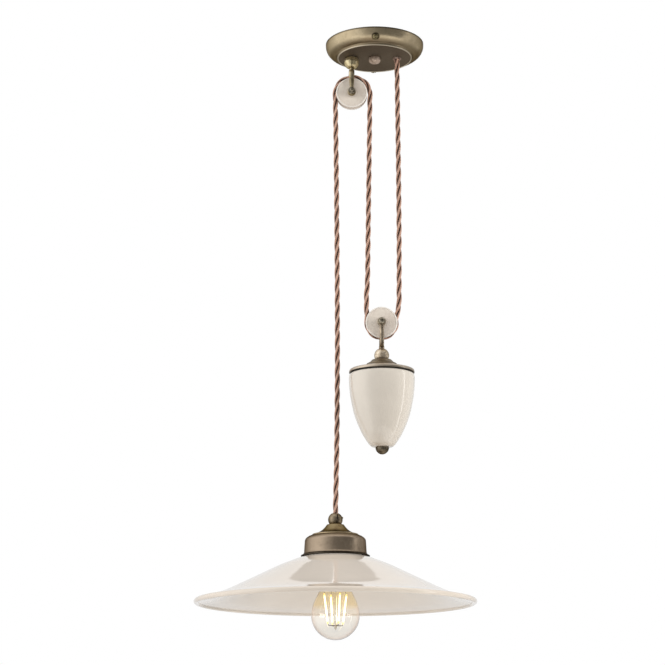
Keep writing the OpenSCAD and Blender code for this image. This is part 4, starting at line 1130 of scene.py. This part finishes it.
# ---------------------------------------------------------------- bulb
glass = Mat("clear_bulb_glass", Roughness=0.0, IOR=1.4)
glass.p.inputs["Transmission Weight"].default_value = 1.0
gv, gx, gy, gz_ = glass.place(AX)
glass.normal(glass.bump(glass.noise(gv, 0.05, 2.0), 0.0004, 0.4))
# painted light: the glass itself emits a warm light, strongest across its middle, in place of the lit filaments
# lighting the bulb; a pinkish tint towards the glass's edges is a painted reflection, and the glass is tinted warmer
# above its widest part
facing = glass.node("ShaderNodeLayerWeight")
facing.inputs["Blend"].default_value = 0.5
painted_glow = glass.math("MULTIPLY", glass.span(gz_, BZ + 10.0, BZ + 30.0), glass.span(gz_, BZ + 70.0, BZ + 40.0))
clear = glass.mix(glass.noise(gv, 0.05, 2.0), srgb(251, 248, 244), srgb(254, 252, 247))
clear = glass.mix(glass.span(facing.outputs["Facing"], 0.35, 0.85), clear, srgb(243, 228, 219))
glass.base(glass.mix(glass.math("MULTIPLY", glass.span(gz_, BZ + 39.0, BZ + 42.0), 0.8), clear, srgb(250, 240, 214)))
glass.p.inputs["Emission Color"].default_value = srgb(255, 238, 214)
glass.link(glass.math("MULTIPLY", painted_glow, 0.03), glass.p.inputs["Emission Strength"])
M["glass"] = glass.m
gkey = [(0, 0), (6, 0.6), (12, 2.55), (18, 6.1), (23.5, 11.4), (27.4, 17.8), (29.6, 25), (30, 31.5), (29, 39), (26.6, 46.6), (23, 54.4), (19.2, 62.4), (16.2, 70.4), (14.4, 77.5), (13.6, 83.2)]
gkey = [(r, BZ + z) for r, z in gkey]
go = curve(gkey, 6)
gi = aside(go, -0.7)
gi = [p for p in gi if p[0] > 0.8]
prof = go + [(13.2, BZ + 83.3)] + gi[::-1] + [(0, BZ + 0.72)]
piece(lathe("bulb_envelope", prof, AX, 144, 60), "glass", "bulb", "bulb_glass", slot="clear_glass")

stem_key = [(11.3, 95), (11.3, 84), (10.5, 76), (5.2, 69), (3.3, 64), (2.7, 58), (2.1, 44), (2.1, 30), (2.5, 24), (1.6, 16), (0.0, 12.2)]
so = curve([(r, BZ + z) for r, z in stem_key], 5)
si = [(max(r - 0.9, 0.0), z) for r, z in so if z > BZ + 60 and r > 1.2]
prof = so + [(0, BZ + 58)] + si[::-1]
stem_glass = Mat("stem_glass", Roughness=0.02, IOR=1.47)
stem_glass.p.inputs["Transmission Weight"].default_value = 1.0
sv, *_ = stem_glass.place(AX)
stem_glass.base(stem_glass.mix(stem_glass.noise(sv, 0.2, 2.0), srgb(244, 246, 246), srgb(252, 252, 250)))
M["stem"] = stem_glass.m
piece(lathe("bulb_stem_drawn", prof, AX, 64, 60), "stem", "bulb", "bulb_stem", slot="clear_glass")

fil = Mat("glowing_filament", Roughness=0.5)
fv, fx, fy, fz = fil.place(AX)
end = fil.math("ADD", fil.span(fz, BZ + 25.0, BZ + 20.5), fil.span(fz, BZ + 52.0, BZ + 56.5))
col = fil.mix(end, srgb(255, 244, 196), srgb(255, 222, 120))
fil.base(col)
fil.link(col, fil.p.inputs["Emission Color"])
fil.put(fil.p.inputs["Emission Strength"], fil.math("SUBTRACT", 3.6, fil.math("MULTIPLY", end, 2.4)))
M["filament"] = fil.m
rods = []
for a in (22, 112, 202, 292):
    ca, sa = math.cos(math.radians(a)), math.sin(math.radians(a))
    n = 12
    pts = [(AX + (10.0 + 5.0 * k / n) * ca, (10.0 + 5.0 * k / n) * sa, BZ + 19.5 + 37.5 * k / n) for k in range(n + 1)]
    rods.append(sweep(pts, [0.5] + [0.95] * (n - 1) + [0.5], 16))
piece(merge("bulb_filament_sticks", rods, 40), "filament", "bulb", "bulb_filaments", slot="filament")

# fine support wires inside the bulb
wires = []
for a in (22, 112, 202, 292):
    ca, sa = math.cos(math.radians(a)), math.sin(math.radians(a))
    top_pts = [(AX + 2.2 * ca, 2.2 * sa, BZ + 66), (AX + 7 * ca, 7 * sa, BZ + 63.5), (AX + 13 * ca, 13 * sa, BZ + 60.5), (AX + 15 * ca, 15 * sa, BZ + 56.4)]
    low_pts = [(AX + 1.2 * ca, 1.2 * sa, BZ + 17.9), (AX + 5 * ca, 5 * sa, BZ + 17.7), (AX + 9.2 * ca, 9.2 * sa, BZ + 18.0), (AX + 10.0 * ca, 10.0 * sa, BZ + 20)]
    wires.append(sweep(top_pts, [0.28] * 4, 8))
    wires.append(sweep(low_pts, [0.5, 0.5, 0.45, 0.3], 10))
M["wire"] = steel("oxidised_wire", (96, 84, 66), 0.5, (4.0, 4.0, 0.4))
piece(merge("bulb_support_wires", wires, 60), "wire", "bulb", slot="nickel")

cap_top = BZ + 106.6
capp = [(0, cap_top), (3.2, cap_top), (3.9, cap_top - 0.2), (4.4, cap_top - 0.9), (4.4, cap_top - 1.6), (8.6, cap_top - 3.4), (11, cap_top - 4.4)]
n = 96
capp += [(12.62 + 0.5 * math.cos(2 * math.pi * (k / n) * 17.0 / 3.62), cap_top - 4.9 - 17.0 * k / n) for k in range(n + 1)]
capp += [(12.6, cap_top - 22.4), (13.05, cap_top - 22.9), (13.05, BZ + 83.3), (11.6, BZ + 83.3), (11.6, BZ + 99), (0, BZ + 99)]
piece(lathe("bulb_cap_rolled", capp, AX, 96, 50), "cap", "bulb", "bulb_cap", slot="cap_aluminium")

# ---------------------------------------------------------------- stage and light
floor_verts = [(0.0, 0.0, -1.75)] + [(1.6 * math.cos(2 * math.pi * k / 96), 1.6 * math.sin(2 * math.pi * k / 96), -1.75) for k in range(96)]
floor_mesh = bpy.data.meshes.new("floor")
floor_mesh.from_pydata(floor_verts, [], [(0, 1 + k, 1 + (k + 1) % 96) for k in range(96)])
floor = bpy.data.objects.new("floor", floor_mesh)
bpy.context.scene.collection.objects.link(floor)
fm = Mat("pale_floor", Roughness=0.9)
fvec, *_ = fm.place()
fm.base(fm.mix(fm.noise(fvec, 0.002, 2.0), srgb(236, 235, 233), srgb(230, 229, 227)))
floor_mesh.materials.append(fm.m)

world = bpy.data.worlds.new("studio")
bpy.context.scene.world = world
world.use_nodes = True
wt = world.node_tree
wt.nodes.clear()
wo = wt.nodes.new("ShaderNodeOutputWorld")
bg = wt.nodes.new("ShaderNodeBackground")
wt.links.new(bg.outputs[0], wo.inputs[0])
tc = wt.nodes.new("ShaderNodeTexCoord")
sp = wt.nodes.new("ShaderNodeSeparateXYZ")
wt.links.new(tc.outputs["Generated"], sp.inputs[0])


def wmath(op, a, b=0.0):
    n = wt.nodes.new("ShaderNodeMath")
    n.operation = op
    for s, v in zip(n.inputs, (a, b)):
        if hasattr(v, "is_output"):
            wt.links.new(v, s)
        else:
            s.default_value = v
    return n.outputs[0]


def wspan(v, lo, hi, a=0.0, b=1.0):
    if hi < lo:
        lo, hi, a, b = hi, lo, b, a
    n = wt.nodes.new("ShaderNodeMapRange")
    n.interpolation_type = "SMOOTHSTEP"
    wt.links.new(v, n.inputs["Value"])
    for k, x in (("From Min", lo), ("From Max", hi), ("To Min", a), ("To Max", b)):
        n.inputs[k].default_value = x
    return n.outputs["Result"]


wx, wy, wz = sp.outputs
DEG = 180 / math.pi
bearing = wmath("MULTIPLY", wmath("ARCTAN2", wx, wmath("MULTIPLY", wy, -1.0)), DEG)      # 0 behind the camera, 90 to its right
height = wmath("MULTIPLY", wmath("ARCSINE", wz), DEG)
# the room round the camera: lit walls to the left, a dark gap behind the camera, a narrow window far right
around = wt.nodes.new("ShaderNodeValToRGB")
ramp = around.color_ramp
ramp.interpolation = "EASE"
levels = [(-180, 0.42), (-145, 0.34), (-120, 0.44), (-92, 0.58), (-66, 0.72), (-42, 0.43), (-22, 0.27), (-8, 0.15), (2, 0.11), (12, 0.12), (45, 0.10), (70, 0.12),
          (81.0, 0.14), (82.6, 1.5), (85.7, 1.5), (87, 0.16), (100, 0.22), (125, 0.30), (145, 0.30), (180, 0.42)]
while len(ramp.elements) < len(levels):
    ramp.elements.new(0.5)
for e, (a, level) in zip(ramp.elements, levels):
    e.position = (a + 180) / 360
    e.color = (level, level, level, 1)
wt.links.new(wmath("DIVIDE", wmath("ADD", bearing, 180.0), 360.0), around.inputs["Fac"])
level = wmath("MULTIPLY", around.outputs["Color"], 2.0)
# overhead it is evenly bright, and below the far horizon it is dim
level = wmath("ADD", wmath("MULTIPLY", level, wspan(height, 62, 40)), wmath("MULTIPLY", wspan(height, 40, 62), 1.05))
behind = wspan(wmath("ABSOLUTE", bearing), 120, 150)
level = wmath("MULTIPLY", level, wmath("SUBTRACT", 1.0, wmath("MULTIPLY", wmath("MULTIPLY", behind, wspan(height, -4, -14)), 0.10)))
# a dark opening in the far ceiling, which the top of the shade mirrors
off = wmath("SUBTRACT", 180.0, wmath("ABSOLUTE", bearing))
sill = wmath("ADD", 37.4, wmath("MULTIPLY", wmath("MAXIMUM", wmath("SUBTRACT", off, 5.5), 0.0), 0.30))
reach = wmath("ADD", off, wspan(bearing, -1, 1, 0.0, 0.3))
hole = wmath("MULTIPLY", wspan(wmath("SUBTRACT", height, sill), -0.2, 0.2), wspan(reach, 10.1, 9.7))
hole = wmath("MULTIPLY", hole, wspan(height, 60, 52))
# with one thin bright bar down it
bar = wmath("MULTIPLY", hole, wspan(wmath("ABSOLUTE", wmath("ADD", wmath("MULTIPLY", wmath("SIGN", bearing), off), 0.22)), 0.36, 0.16))
level = wmath("MULTIPLY", level, wmath("SUBTRACT", 1.0, wmath("MULTIPLY", hole, 0.78)))
level = wmath("ADD", level, wmath("MULTIPLY", bar, 1.15))
# what the camera itself sees is the plain white backdrop
path = wt.nodes.new("ShaderNodeLightPath")
seen = wt.nodes.new("ShaderNodeMix")
seen.data_type = "FLOAT"
wt.links.new(path.outputs["Is Camera Ray"], seen.inputs[0])
wt.links.new(level, seen.inputs[2])
seen.inputs[3].default_value = 1.0
wt.links.new(seen.outputs[0], bg.inputs["Strength"])
bg.inputs["Color"].default_value = (1.0, 1.0, 1.0, 1.0)


def area(name, loc, target, size, power, colour=(1, 1, 1)):
    d = bpy.data.lights.new(name, "AREA")
    d.shape = "RECTANGLE"
    d.size, d.size_y = size
    d.energy = power
    d.color = colour
    o = bpy.data.objects.new(name, d)
    o.location = loc
    o.rotation_euler = (Vector(target) - Vector(loc)).to_track_quat("-Z", "Y").to_euler()
    o.visible_glossy = False
    bpy.context.scene.collection.objects.link(o)
    return o


area("soft_left", (-2.4, -1.25, 0.4), (0, 0, -0.45), (1.5, 2.0), 22)
area("soft_right", (2.15, -0.9, -0.2), (0, 0, -0.5), (1.1, 1.8), 44)
